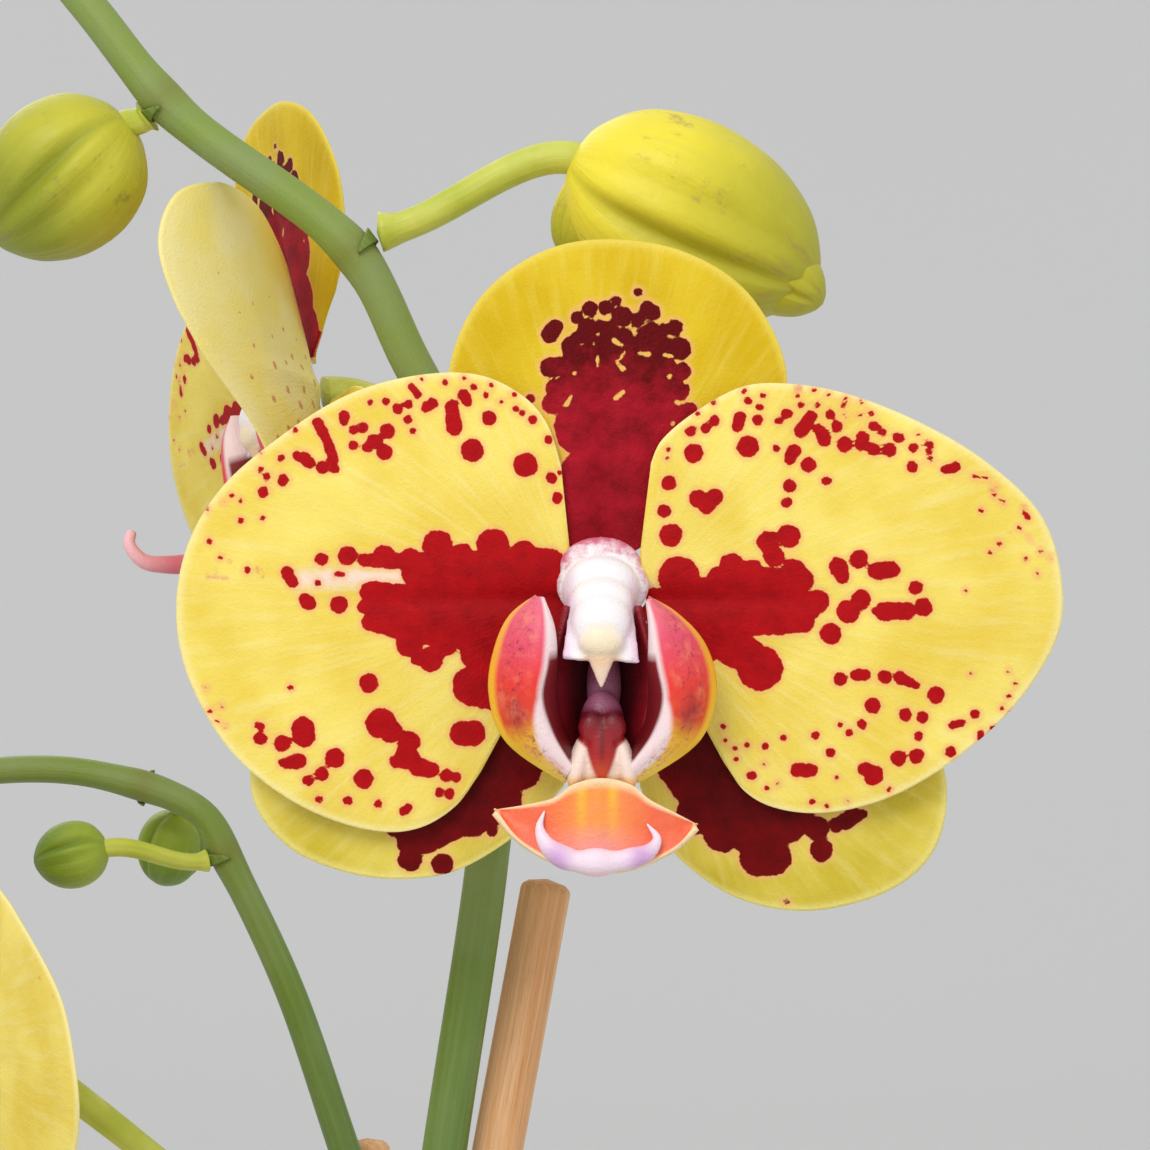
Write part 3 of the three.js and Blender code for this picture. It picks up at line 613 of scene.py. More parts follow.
spikes = {
    "main_spike": {
        "radii": (3.2, 1.7), "rings": 420,
        "points": [
            (-3, -12.2, 104.2), (-2.6, -12.6, 130), (-1, -12.6, 165), (3, -12, 205),
            (9.8, -9.6, 250), (17, -6.4, 300), (21.6, -3.4, 330), (26.9, 0, 368),
            (31.5, 0.5, 399.2), (32.9, 0.5, 416.5), (30.5, 1, 438), (23, 1, 453.6),
            (16.9, 1, 465.1), (-2.5, 2, 480.4), (-12, 2.5, 492), (-24, 4, 506),
            (-42, 5, 518), (-62, 5, 524), (-82, 4, 523), (-98, 3, 516),
        ],
        # height of each joint, and the side its bract and branch stand on
        "joints": [(150, (-1, -0.6, 0)), (238, (1, -0.4, 0)), (341.5, (-1, -0.3, 0)),
                   (421, (1, -0.3, 0)), (444, (0, 1, 0)), (464.6, (1, 0, 0.1)),
                   (481, (-0.8, 0.2, -0.6)), (509, (0.4, 0.2, 1)), (521, (-0.2, -0.4, -1))],
    },
    "second_spike": {
        "radii": (2.9, 1.5), "rings": 380,
        "points": [
            (0, 12.3, 104.2), (2, 13, 130), (9, 18, 165), (19, 27, 205), (27, 35, 250),
            (28, 41, 300), (22.5, 44, 335), (13.4, 45, 361), (6.6, 46, 380.4),
            (-0.4, 46, 395.2), (-4, 46, 401.5), (-15.4, 46, 405.8), (-26, 45, 406.7),
            (-43, 43, 404), (-57, 41, 398),
        ],
        "joints": [(152, (1, 0.4, 0)), (240, (-1, 0.3, 0)), (345, (-1, -0.5, -0.3)),
                   (396, (-1, -0.4, -0.2)), (404.6, (0, 1, -0.3))],
    },
}


def spike_spot(spike, level):
    """Index of the first point of the route at that height, its share and its radius."""
    index = int(np.argmax(spike["route"][:, 2] >= level))
    share = index / (len(spike["route"]) - 1)
    first, last = spike["radii"]
    return index, share, first + (last - first) * share


def spike_seat(spike, level, out, stalk_radius):
    index, _, radius = spike_spot(spike, level)
    out = np.array(out, float)
    along = spike["route"][index + 1] - spike["route"][index - 1]
    along /= np.linalg.norm(along)
    slant = out.dot(along) / np.linalg.norm(out)
    away = out - along * out.dot(along)
    away /= np.linalg.norm(away)
    seat = spike["route"][index] + away * (radius + seat_gap + stalk_radius * abs(slant))
    return seat, away, along


for node, spike in spikes.items():
    spike["route"] = smooth_route(spike["points"], spike["rings"])
    swellings = [spike_spot(spike, level)[1] for level, _ in spike["joints"]]
    total = np.linalg.norm(np.diff(spike["route"], axis=0), axis=1).sum()

    def spike_radius(share, angle):
        first, last = spike["radii"]
        radius = first + (last - first) * share
        for swelling in swellings:
            radius = radius * (1 + 0.13 * np.exp(-(((share - swelling) * total / 3.2) ** 2)))
        return radius * (1 + 0.012 * np.cos(5 * angle + 9 * share))

    stalk = add_stem(spike["route"], spike_radius, 40)
    run = distance_along(stalk) / total
    nearness = sum(np.exp(-(((run - swelling) * total / 1.6) ** 2)) for swelling in swellings)
    set_layer(stalk, "joint", np.clip(nearness, 0, 1))
    finish_piece(stalk, node + "_stalk", node, stem_skin)

    for number, (level, out) in enumerate(spike["joints"]):
        _, away, along = spike_seat(spike, level, out, 0)
        index, share, radius = spike_spot(spike, level)
        across_way = np.cross(along, away)
        length = 2.5 * (1 - 0.35 * share) * (4.4 if level < 260 else 1)
        foot = spike["route"][index] - along * 0.45 * length

        def bract_surface(across, along_bract):
            spread = 1.5 * (1 - along_bract**1.6)
            angle = (0.5 - across) * 2 * spread
            distance = radius * 1.13 + 0.3 + 0.1 * along_bract**2
            places = foot + along * (along_bract * length)[:, None]
            places = places + away * (np.cos(angle) * distance)[:, None]
            places = places + across_way * (np.sin(angle) * distance)[:, None]
            run_mm = along_bract * length
            return places, {"blade": np.column_stack([angle * distance, run_mm, 0 * run_mm])}

        bract = add_sheet(14, 12, bract_surface, 0.35, 0.4)
        finish_piece(bract, f"{node}_bract_{number}", None, bract_skin)

# ---------- clips ----------
# Soft green plastic orchid clips. Each is one moulded loop that holds the spike and its stake
# together, with a little room left round both.

plastic = Finish("clip_plastic", {"Specular IOR Level": 0.5, "Coat Weight": 0.3,
                                  "Coat Roughness": 0.15, "Transmission Weight": 0.25})
spot = plastic.place()
haze = plastic.noise(spot, 500, 2)
flow = plastic.noise(plastic.stretch(spot, (120, 120, 900)), 1.0, 2)
plastic.send("Base Color", plastic.mix(haze, shade(128, 178, 84), shade(156, 200, 112)))
plastic.send("Roughness", 0.25 + 0.15 * haze)
plastic.relief(haze + flow, 0.06 * MM)

clips = [("main_clip_lower", "main_spike", "main_stake", 215),
         ("main_clip_upper", "main_spike", "main_stake", 300),
         ("second_clip", "second_spike", "second_stake", 334)]
clip_gap, half_wall, half_tall = 0.8, 0.65, 2.0
for node, spike_name, stake_name, level in clips:
    spike = spikes[spike_name]
    index, share, radius = spike_spot(spike, level)
    on_spike = spike["route"][index]
    foot, top = [np.array(end, float) for end in stakes[stake_name]]
    on_stake = foot + (top - foot) * (on_spike[2] - foot[2]) / (top[2] - foot[2])
    along_spike = spike["route"][index + 1] - spike["route"][index - 1]
    axis = (top - foot) / np.linalg.norm(top - foot) + along_spike / np.linalg.norm(along_spike)
    axis /= np.linalg.norm(axis)
    towards = on_stake - on_spike
    towards -= axis * towards.dot(axis)
    half = np.linalg.norm(towards) / 2
    towards /= 2 * half
    third = np.cross(axis, towards)
    middle = (on_spike + on_stake) / 2
    round_spike = radius + clip_gap + half_wall
    round_stake = stake_radius + clip_gap + half_wall

    def clip_surface(across, along):
        turn = 2 * math.pi * along
        at_stake = np.cos(turn) > 0
        reach = np.where(at_stake, round_stake, round_spike)
        x = np.where(at_stake, half, -half) + reach * np.cos(turn)
        y = reach * np.sin(turn)
        # the wall is rounded at its corners
        roll = 2 * math.pi * across
        wall = half_wall * np.sign(np.cos(roll)) * np.abs(np.cos(roll)) ** 0.6
        tall = half_tall * np.sign(np.sin(roll)) * np.abs(np.sin(roll)) ** 0.6
        x, y = x + wall * np.cos(turn), y + wall * np.sin(turn)
        places = middle + towards * x[:, None] + third * y[:, None] + axis * tall[:, None]
        return places, {}

    loop = add_sheet(20, 96, clip_surface, rolled=True)
    finish_piece(loop, node + "_loop", node, plastic)

# ---------- petals and sepals ----------
# Each flower has two broad waxy petals in front of three sepals. They are lemon yellow with a
# thin pale rim, and the crimson blotches and spots are drawn in the skin with crisp edges.


def fan_rim(outline, side, share):
    rim = np.array(sorted((math.radians(side * angle), radius) for angle, radius in outline))
    points = np.column_stack([rim[:, 1] * np.cos(rim[:, 0]), rim[:, 1] * np.sin(rim[:, 0])])
    last = len(points) - 1
    spot = share * last
    index = np.minimum(np.floor(spot).astype(int), last - 1)
    t = (spot - index)[:, None]
    near = [points[np.clip(index + step, 0, last)] for step in (-1, 0, 1, 2)]
    slope0, slope1 = (near[2] - near[0]) / 2, (near[3] - near[1]) / 2
    return ((2 * near[1] - 2 * near[2] + slope0 + slope1) * t**3
            + (-3 * near[1] + 3 * near[2] - 2 * slope0 - slope1) * t**2 + slope0 * t + near[1])


def inside_marks(x, y, marks):
    """Millimetres inside the nearest mark: (x, y, radius), or two such ends of a stroke."""
    inside = np.full_like(x, -9.0)
    for mark in marks:
        ax, ay, ar, bx, by, br = mark if len(mark) == 6 else (*mark, *mark)
        run = max((bx - ax) ** 2 + (by - ay) ** 2, 1e-9)
        share = np.clip(((x - ax) * (bx - ax) + (y - ay) * (by - ay)) / run, 0, 1)
        away = np.hypot(x - ax - share * (bx - ax), y - ay - share * (by - ay))
        inside = np.maximum(inside, ar + (br - ar) * share - away)
    return inside


def basis_of(facing, nod, roll):
    front = heading(facing) * math.cos(math.radians(nod)) - UP * math.sin(math.radians(nod))
    right = np.cross(UP, front)
    right /= np.linalg.norm(right)
    up = np.cross(front, right)
    turn = math.radians(-roll)
    turned_right = right * math.cos(turn) + np.cross(front, right) * math.sin(turn)
    turned_up = up * math.cos(turn) + np.cross(front, up) * math.sin(turn)
    return turned_right, turned_up, front


def in_flower(flower, local):
    right, up, front = flower["basis"]
    out = right * local[:, :1] + up * local[:, 1:2] + front * local[:, 2:3]
    return np.array(flower["place"]) + flower["size"] * out


blade_start, claw_reach = 1.2, 3.0


def tepal_surface(flower, form, marks, gaps, pale, faint):
    outline, side = form["outline"], form["side"]
    turn, start, curl = math.radians(form["axis"]), math.radians(form["tilt"]), form["curl"]

    def surface(across, along):
        edge = fan_rim(outline, side, 1 - across)
        reach = np.linalg.norm(edge, axis=1)[:, None]
        inner = edge / reach * blade_start
        flat = inner + (edge - inner) * along[:, None]
        slope = start + curl * flat[:, 0]
        out = (np.sin(slope) - math.sin(start)) / curl
        forward = form["level"] + (math.cos(start) - np.cos(slope)) / curl
        forward = forward + form["cup"] * flat[:, 1] ** 2
        fade = np.clip(1 - np.linalg.norm(flat, axis=1) / 30, 0, 1)
        forward -= 0.42 * np.exp(-((flat[:, 1] / 1.1) ** 2)) * fade
        forward += 0.2 * np.exp(-(((np.abs(flat[:, 1]) - 2.6) / 1.6) ** 2)) * fade
        around = np.arctan2(flat[:, 1], flat[:, 0])
        ripple = np.sin(around * 7 + form["axis"]) + 0.6 * np.sin(around * 13 + 2)
        forward += form["ripple"] * (0.35 + 0.5 * ripple) * along**4
        claw_x = claw_reach * math.cos(form["claw"])
        claw_y = claw_reach * math.sin(form["claw"])
        cos, sin = math.cos(turn), math.sin(turn)
        local = np.column_stack([claw_x + out * cos - flat[:, 1] * sin,
                                 claw_y + out * sin + flat[:, 1] * cos, forward])
        # the marks keep their places on the blade when it bends
        x = claw_x + flat[:, 0] * cos - flat[:, 1] * sin
        y = claw_y + flat[:, 0] * sin + flat[:, 1] * cos
        marked = np.minimum(inside_marks(x, y, marks), -inside_marks(x, y, gaps))
        return in_flower(flower, local), {
            "flat": np.column_stack([x, y, 0 * x]),
            "fan": np.column_stack([around * 12, np.linalg.norm(flat, axis=1), 0 * x]),
            "marked": marked,
            "pale": inside_marks(x, y, pale),
            "faint": inside_marks(x, y, faint),
            "rim_gap": ((1 - along)[:, None] * (reach - blade_start)).ravel(),
        }

    return surface


def tepal_finish(name, yellow, deep, rim_colour, bright, dark, back, darkens=(90, 99)):
    skin = Finish(name, {"Specular IOR Level": 0.1})
    flat, fan = skin.attribute("flat", 1), skin.attribute("fan", 1)
    marked, rim_gap = skin.attribute("marked"), skin.attribute("rim_gap")
    face = skin.attribute("front")
    patches = skin.noise(flat, 0.09, 4)
    veins = skin.noise(skin.stretch(fan, (2.2, 0.1, 0)), 1.0, 4, 0.65)
    cells = skin.dots(flat, 4.5)
    fine = skin.noise(flat, 2.4, 4, 0.6)
    base = skin.mix(skin.ramp(patches, 0.32, 0.68), yellow, deep)
    base = skin.mix(skin.ramp(veins, 0.42, 0.75) * 0.3, base, rim_colour)
    base = skin.mix((1 - skin.ramp(rim_gap + 0.7 * fine, 0.2, 1.6)) * 0.75, base, rim_colour)
    smear = 1.6 * skin.noise(flat, 0.9, 4, 0.7)
    streak = skin.ramp(skin.attribute("pale") + smear - 0.6, -0.6, 1.3)
    base = skin.mix(streak * 0.85, base, shade(250, 222, 214))
    wobble = 0.5 * skin.noise(flat, 1.1, 3) + 0.2 * fine - 0.35
    field = marked + wobble
    halo = skin.ramp(field, -0.62, -0.04)
    base = skin.mix(halo * 0.55, base, shade(244, 176, 120))
    blush = skin.ramp(skin.attribute("faint") + 0.9 * fine - 0.4, -0.1, 0.5)
    base = skin.mix(blush * 0.6, base, shade(226, 104, 110))
    depth = skin.noise(flat, 0.5, 4, 0.65)
    _, from_claw, _ = skin.axes(fan)
    deepen = skin.ramp(field, 0.2, 3.5) * 0.35 + skin.ramp(depth, 0.3, 0.75) * 0.45
    deepen = deepen + skin.ramp(from_claw + 3 * depth, *darkens)
    crimson = skin.mix(deepen, bright, dark)
    crimson = skin.mix(skin.ramp(veins, 0.5, 0.85) * 0.25, crimson, bright)
    crisp = skin.ramp(field, -0.06, 0.07)
    base = skin.mix(crisp, base, crimson)
    reverse = skin.mix(skin.ramp(patches, 0.3, 0.7), back, rim_colour)
    reverse = skin.mix(crisp * skin.ramp(fine, 0.25, 0.5) * 0.7, reverse, shade(204, 84, 78))
    skin.send("Base Color", skin.mix(face, reverse, base))
    skin.send("Roughness", 0.42 + 0.16 * fine + 0.05 * patches)
    skin.relief(0.6 * veins + 0.25 * cells + 0.5 * fine, 0.16 * MM, 0.8)
    return skin


petal_skin = tepal_finish("petal_skin", shade(248, 226, 112), shade(236, 206, 78),
                          shade(252, 238, 170), shade(184, 10, 18), shade(134, 0, 8),
                          shade(250, 230, 124))
dorsal_skin = tepal_finish("dorsal_skin", shade(226, 194, 40), shade(210, 174, 18),
                           shade(240, 218, 100), shade(176, 18, 38), shade(96, 0, 4),
                           shade(230, 206, 84), (17, 27))
lateral_skin = tepal_finish("lateral_skin", shade(234, 214, 96), shade(208, 186, 58),
                            shade(246, 232, 146), shade(118, 2, 6), shade(60, 0, 2),
                            shade(226, 208, 96))

petal_left_outline = [
    (84, 13.5), (81, 18), (75, 21.6), (66, 25), (54, 28), (42, 31), (30, 33.8), (18, 37.4),
    (8, 39.6), (-2, 40.4), (-12, 39.9), (-24, 38), (-36, 35), (-47, 31.7), (-55, 28.4),
    (-60, 24), (-61, 19)]
petal_right_outline = [
    (83, 14), (80, 16.5), (72, 20), (63, 24.2), (54, 27), (44, 30), (33, 33.6), (22, 38),
    (12, 42), (3, 43.3), (-5, 43), (-15, 40.2), (-26, 36.4), (-37, 32.9), (-47, 29.4),
    (-55, 25.9), (-60, 22.4), (-61, 18)]
dorsal_outline = [
    (56, 13), (50, 19.5), (38, 25.7), (25, 30.4), (12, 33), (0, 33.8), (-14, 33.5),
    (-28, 31.7), (-43, 27.2), (-54, 20), (-58, 13)]
lateral_left_outline = [
    (48, 17), (38, 22.6), (28, 28.6), (19, 32.6), (11, 35.6), (3, 38), (-5, 38.6),
    (-12, 36.8), (-20, 32), (-28, 24), (-32, 15)]
lateral_right_outline = [
    (46, 17), (40, 23.6), (30, 30), (20, 34.6), (10, 37.8), (2, 39.4), (-5, 39),
    (-13, 36.4), (-21, 31.6), (-29, 22), (-32, 15)]

petal_left_marks = [
    # the scalloped blotch round the midrib
    (-18.5, 2.8, 2.0, -6, 3.0, 2.3), (-17, -1.5, 3.2, -5, -2, 4.5), (-19.5, 0.2, 1.6, -17, 0, 3),
    (-12, -4, 3, -6, -6, 4.5), (-13.3, -8.7, 2.1, -9, -9, 2.6), (-24.3, 4, 0.7, -20, 3.9, 0.9),
    (-23.7, 0.8, 1.1, -19, 0.4, 1.2), (-24.2, -0.7, 0.8, -20, -1.5, 1.6),
    (-23.7, -2.3, 0.9, -18.5, -3, 1.6), (-26, 4.45, 1.0), (-22.3, 4.45, 1.1), (-19.6, 4, 1.2),
    (-16.9, 5.5, 1.55), (-14.4, 4.4, 1.3), (-11.3, 5.5, 1.7), (-8.2, 4.45, 1.5),
    (-19.7, -4.4, 1.4), (-18.8, -5.8, 0.9), (-17.6, -6, 1.3), (-16.2, -4.4, 1.4),
    (-13.3, -5.8, 1.2), (-11.8, -9.6, 1.2),
    # beyond its tip, and under it
    (-32.1, 2.8, 0.65, -31.5, 1.7, 0.6), (-28.6, 4.1, 0.68), (-30.2, -0.1, 0.75, -29.8, -0.4, 0.7),
    (-26.8, -0.5, 0.95), (-28.9, 1.7, 0.38), (-27.2, 2.5, 0.25, -26.4, 2.6, 0.25),
    (-23.85, -8.4, 1.0), (-14.4, -13.5, 1.3, -13.4, -13.5, 1.35),
    # the lower edge
    (-34.9, -12.8, 0.55), (-34.8, -14, 0.7), (-30.5, -13, 1.2, -30.4, -13.8, 1.15),
    (-32.6, -14.5, 0.9), (-32.5, -16.5, 0.55, -31, -16.3, 0.85), (-27.3, -16, 1.05),
    (-28.6, -17.6, 0.75), (-30, -18.2, 0.6), (-24.4, -18.1, 1.05), (-28.9, -20.2, 0.45),
    (-26, -20.3, 0.5), (-22.9, -20.6, 0.48), (-20.3, -21.4, 0.5, -19.9, -21, 0.45),
    (-22.6, -12.5, 1.6), (-21.6, -13.3, 1.2), (-19.8, -14.4, 1.15), (-20, -15.9, 1.3),
    (-21.1, -16.3, 0.7), (-18.8, -16.9, 1.0, -17.5, -17.2, 0.8), (-16, -17.8, 0.7),
    (-15, -17.9, 0.55), (-16.7, -19.5, 0.5), (-15.7, -19.6, 0.6),
    # the upper edge, from the tip inwards
    (-40.2, 9.2, 0.28), (-38.5, 9.8, 0.22), (-37.7, 10.5, 0.26), (-36.8, 10, 0.24),
    (-36.8, 8, 0.38), (-34.6, 8.2, 0.3), (-40, 5.9, 0.34), (-38.8, 4.3, 0.28), (-36.1, 3, 0.38),
    (-34.5, 10.9, 0.62), (-34.8, 13.1, 0.38), (-34.1, 12.5, 0.42), (-32.5, 12.1, 0.65),
    (-32.7, 14.3, 0.42), (-31.3, 17.2, 0.3), (-34.8, 14.8, 0.22),
    (-31.1, 14.6, 0.5, -29.8, 13.8, 0.6), (-30.4, 14.4, 0.7), (-28.5, 13.4, 0.72),
    (-29, 17.9, 0.6, -28.1, 16.1, 0.52), (-28, 15.9, 0.55, -27.4, 14.2, 0.55),
    (-27.3, 13.3, 0.55), (-26.3, 18.6, 0.58, -26.3, 18, 0.5), (-25.4, 17.2, 0.55),
    (-24.5, 17.4, 0.55), (-25.4, 15.6, 0.52), (-22, 17, 0.8), (-23.2, 16, 0.85),
    (-24, 15.4, 0.6), (-22.3, 14.9, 0.85), (-23.7, 20, 0.34), (-22.1, 20.1, 0.42),
    (-20.9, 19.3, 0.6), (-19.9, 19.8, 0.5), (-19.9, 18.2, 0.5), (-19.4, 17, 0.4),
    (-19.6, 21.6, 0.34, -18.9, 20.8, 0.45), (-18.6, 22.3, 0.3), (-18, 19.5, 0.62),
    (-17.4, 19.8, 0.6), (-16.2, 22, 0.34), (-14.3, 22.4, 0.24), (-13.3, 21.5, 0.4),
    (-14.3, 20.8, 0.6, -13.9, 20, 0.55), (-12, 20.7, 0.32), (-11.5, 21.7, 0.24),
    (-15.5, 19.6, 0.68, -15.2, 17.4, 0.85), (-11.7, 18.4, 0.75), (-13.4, 15.1, 1.2),
    (-8, 13.6, 1.25), (-9.2, 20.8, 0.28), (-10.5, 20, 0.24), (-8.9, 19.3, 0.38),
    (-8.4, 18.9, 0.36), (-7.3, 18.2, 0.5), (-5.6, 16.2, 0.45), (-5.4, 12.3, 0.6),
    (-4.8, 10.3, 0.6), (-4.5, 12.9, 0.3),
    # freckles
    (-38.8, -10.8, 0.26), (-40, -11.2, 0.26), (-38.4, -12.8, 0.26), (-31.8, -8.9, 0.32),
    (-39.3, -12.2, 0.2), (-40.3, -8.9, 0.22),
]
petal_right_marks = [
    (7.5, 2.3, 2.1), (12.8, 3.4, 1.3), (5, -0.5, 1.8, 20.5, -0.6, 1.5),
    (6, -1.5, 2.5, 18.5, -1.5, 2.0), (8, -0.5, 2.8, 17.5, 0.5, 2.2),
    (12, 1.5, 2.0, 18.5, 1.5, 1.7), (20, -2.2, 1.2), (21.5, -0.2, 1.25), (14.9, 2.6, 1.4),
    (16.5, 5.8, 1.15), (18.6, 6.4, 1.2), (17.1, 4.4, 1.1), (19.1, 3, 1.2), (19.9, 2, 1.25),
    (11, -3.5, 2.2, 15, -6, 1.8), (15.7, -6.9, 2.3), (6, -3, 2.5, 10.5, -4, 2.3),
    (22.8, -3.4, 1.12), (24.6, -1.2, 1.2), (25.9, 0, 1.08), (23.6, 3.3, 1.0),
    (24, 2.4, 0.8), (25.7, 4.1, 0.95), (27.4, 2.9, 0.9, 29, 3, 0.88), (31.4, 1.2, 0.75),
    (27.3, -1.15, 0.4, 28.2, -1.2, 0.95), (28.2, -1.2, 0.95, 30.6, -1.1, 0.9),
    (32.2, -0.75, 0.95),
    (23.8, -8, 0.72), (25.4, -7.6, 0.62, 26.3, -7.6, 0.62), (28.3, -7.8, 0.75),
    (29.9, -7.9, 0.75, 31.5, -8.6, 0.4), (33.5, -9.6, 0.9), (27.1, -10.7, 0.85),
    (30.4, -11.6, 0.7), (32.1, -11.9, 0.65), (26, -12.6, 0.52), (24.7, -13.4, 0.44),
    (23.8, -12.6, 0.32), (31.7, -13.8, 0.48), (35.1, -12.7, 0.42, 36.1, -12.5, 0.42),
    (37.5, -11.6, 0.55), (39.3, -13, 0.32), (38, -13.6, 0.4, 38, -14.1, 0.36),
    (35, -15.4, 0.6), (29.7, -16, 0.82), (31.5, -15.8, 0.8), (26.3, -17.1, 0.75),
    (27.2, -17.7, 1.05), (19.5, -17.2, 0.75, 20.9, -17.2, 0.7), (22.8, -15.5, 0.5),
    (21.3, -13.7, 0.46), (18.1, -13.9, 0.32), (16.2, -14.8, 0.42), (14.4, -14.7, 0.3),
    (13.2, -15, 0.3), (13.3, -16.1, 0.24), (14.9, -17.8, 0.5), (16.1, -16.6, 0.22),
    (16.4, -19, 0.3), (17.5, -18.6, 0.24), (21, -20.4, 0.3), (22.5, -20.9, 0.24),
    (24.6, -20.4, 0.22), (23.5, -18, 0.22), (28.8, -19.2, 0.3), (40.9, -9.8, 0.26),
    (40.2, -11, 0.26), (41.1, -11.4, 0.22), (41.6, -8.5, 0.2), (40.9, -7.2, 0.2),
    (37, -7.5, 0.22), (12, -12.8, 0.3), (12.2, -14.2, 0.26),
    (11, 20, 0.3), (9.4, 18.8, 0.3), (8.7, 17, 0.6), (10.2, 17.3, 0.55), (11.1, 18.1, 0.6),
    (14.1, 21.1, 0.3), (14.5, 20.1, 0.42), (16, 20.6, 0.32), (15.7, 19.5, 0.38),
    (13.7, 18.4, 0.65, 13.5, 17.5, 0.6), (15.5, 18.2, 0.6), (9, 14.8, 1.0), (14.5, 15.5, 1.15),
    (17.4, 15.3, 0.4), (18.4, 18.8, 0.6), (17.6, 18.1, 0.42), (19.8, 19.7, 0.38),
    (19.5, 20.6, 0.28), (20.9, 18.6, 0.6, 19.9, 17.1, 0.78), (21.5, 19.7, 0.34),
    (22.8, 18.7, 0.55), (22.7, 20.7, 0.28), (21.2, 21.2, 0.24), (24.4, 20.3, 0.26, 24.1, 19.6, 0.3),
    (24.3, 18.6, 0.3), (26, 20, 0.24), (25.9, 18.6, 0.3), (27, 18.8, 0.34), (23.5, 17.5, 0.62),
    (21.6, 17.3, 0.6, 22.2, 16.2, 0.75), (24.3, 15.7, 0.85), (26.1, 16.4, 0.65, 25.9, 15.6, 0.65),
    (27.2, 17.5, 0.6), (28.1, 16.9, 0.5), (27.2, 15.2, 0.7), (28.8, 15.1, 0.75),
    (29.7, 16.4, 0.6), (31.2, 15.3, 0.55), (32.8, 15.7, 0.5), (32.8, 15, 0.4), (33, 14.2, 0.4),
    (31.7, 16.7, 0.28), (31.1, 13.4, 0.62), (34.4, 13.1, 0.45, 35.4, 13.4, 0.62),
    (37.4, 12.5, 0.32), (38.6, 12.3, 0.3), (39.4, 10.5, 0.3), (40.3, 9.8, 0.3),
    (38.1, 9, 0.32), (42.4, 8.8, 0.3, 42.8, 8.2, 0.32), (41.9, 7.3, 0.28), (39.9, 5.7, 0.34),
    (39, 4.8, 0.28), (44.1, 4.9, 0.24), (42.6, 4.1, 0.24), (43.8, 2.6, 0.24), (36.4, 0.9, 0.22),
    (45.1, 4.2, 0.2), (43, 6.2, 0.2), (39.6, 11.4, 0.22),
    (19.1, 15, 0.75, 18.7, 14.2, 0.6), (20.6, 13.6, 0.8), (18.7, 11.5, 0.72), (18.4, 9.8, 0.58),
    (22.4, 12, 0.52), (6.5, 11.8, 0.75), (6, 9, 0.7), (6.7, 6.5, 1.2),
    (9.5, 10.2, 0.95), (11.1, 10.4, 0.9), (10.3, 9.6, 1.0), (6.4, 15.2, 0.24), (6.3, 14.3, 0.22),
]
dorsal_marks = [
    (3.4, 31.26, 0.48), (4.4, 29.6, 0.85, 4.9, 29.2, 0.85), (1.17, 30.4, 0.55), (0.1, 29.7, 0.78),
    (-1.5, 29.6, 0.85), (-2.8, 28.7, 0.7), (-5.5, 27, 0.95, -5, 27.7, 0.85), (3.4, 28.5, 0.8),
    (1.8, 28.8, 1.1), (-1.75, 27.65, 1.05), (0.2, 27.5, 1.2), (4.8, 27.1, 1.15),
    (6, 27.4, 0.75), (7.15, 27.65, 0.85), (7.6, 25.5, 1.2), (5.6, 25.9, 1.2), (7.8, 23.1, 1.0),
    (6.2, 23.6, 1.1), (7.5, 21.3, 1.15), (7.9, 18.8, 0.9, 8.6, 19.3, 0.8), (-3.4, 25.75, 1.0),
    (-5.5, 23.6, 1.05, -4, 23.7, 1.0), (-5.15, 21.5, 0.9), (-5.3, 19.9, 1.1), (-7.5, 20.4, 0.5),
    (-1.7, 25, 2.6, 4.4, 25, 2.6), (-1.9, 21.5, 2.9, 4.8, 21.5, 3.0),
    (-1.9, 17.5, 3.2, 4.6, 17.5, 3.6), (-1.4, 12, 3.4, 2.6, 12, 3.6), (-1.2, 7.9, 3.6),
    (2.2, 7.9, 3.6), (3.6, 2.9, 1.2, 4.2, 8, 1.6), (-3.2, 6.8, 1.7, -3.0, 12, 2.0),
]
dorsal_gaps = [
    (-0.5, 28.7, 0.28, 0.5, 28.6, 0.26), (-0.7, 26.95, 0.2), (-2.3, 26.1, 0.2),
    (0.9, 26.4, 0.22, 1.7, 25.8, 0.24), (2.9, 27.4, 0.26, 3.1, 27, 0.2),
    (3.6, 25.1, 0.22, 4.4, 24.9, 0.26),
    (-0.75, 24.7, 0.14, -0.7, 23.8, 0.16), (1.3, 24.2, 0.18, 1.9, 23.4, 0.24),
    (2, 25.1, 0.1, 1.7, 24.5, 0.12), (6, 24.9, 0.18, 6.9, 24.7, 0.18), (6.6, 22.7, 0.26),
    (-3.4, 20.6, 0.2, -3.9, 19.8, 0.22), (1.9, 21.1, 0.2, 1.2, 20.5, 0.26), (-3, 23, 0.2),
    (-1.1, 26, 0.14), (8.3, 22.1, 0.24), (7.3, 20, 0.22), (6.9, 17.9, 0.24),
]
lateral_left_marks = [
    (-3, -4, 3.5, -9, -14, 4.4), (-8.5, -12, 4, -13, -20, 3.6), (-12, -19, 3.5, -18.5, -23.4, 2.5),
    (-19.8, -26.4, 1.3), (-19.6, -24.6, 1.6), (-16.5, -26.9, 1.15), (-10.5, -20.5, 2.2),
    (-13.5, -22.6, 1.6), (-8.6, -17.2, 2.2), (-21.3, -23.4, 0.9), (-11.4, -23.6, 0.6),
]
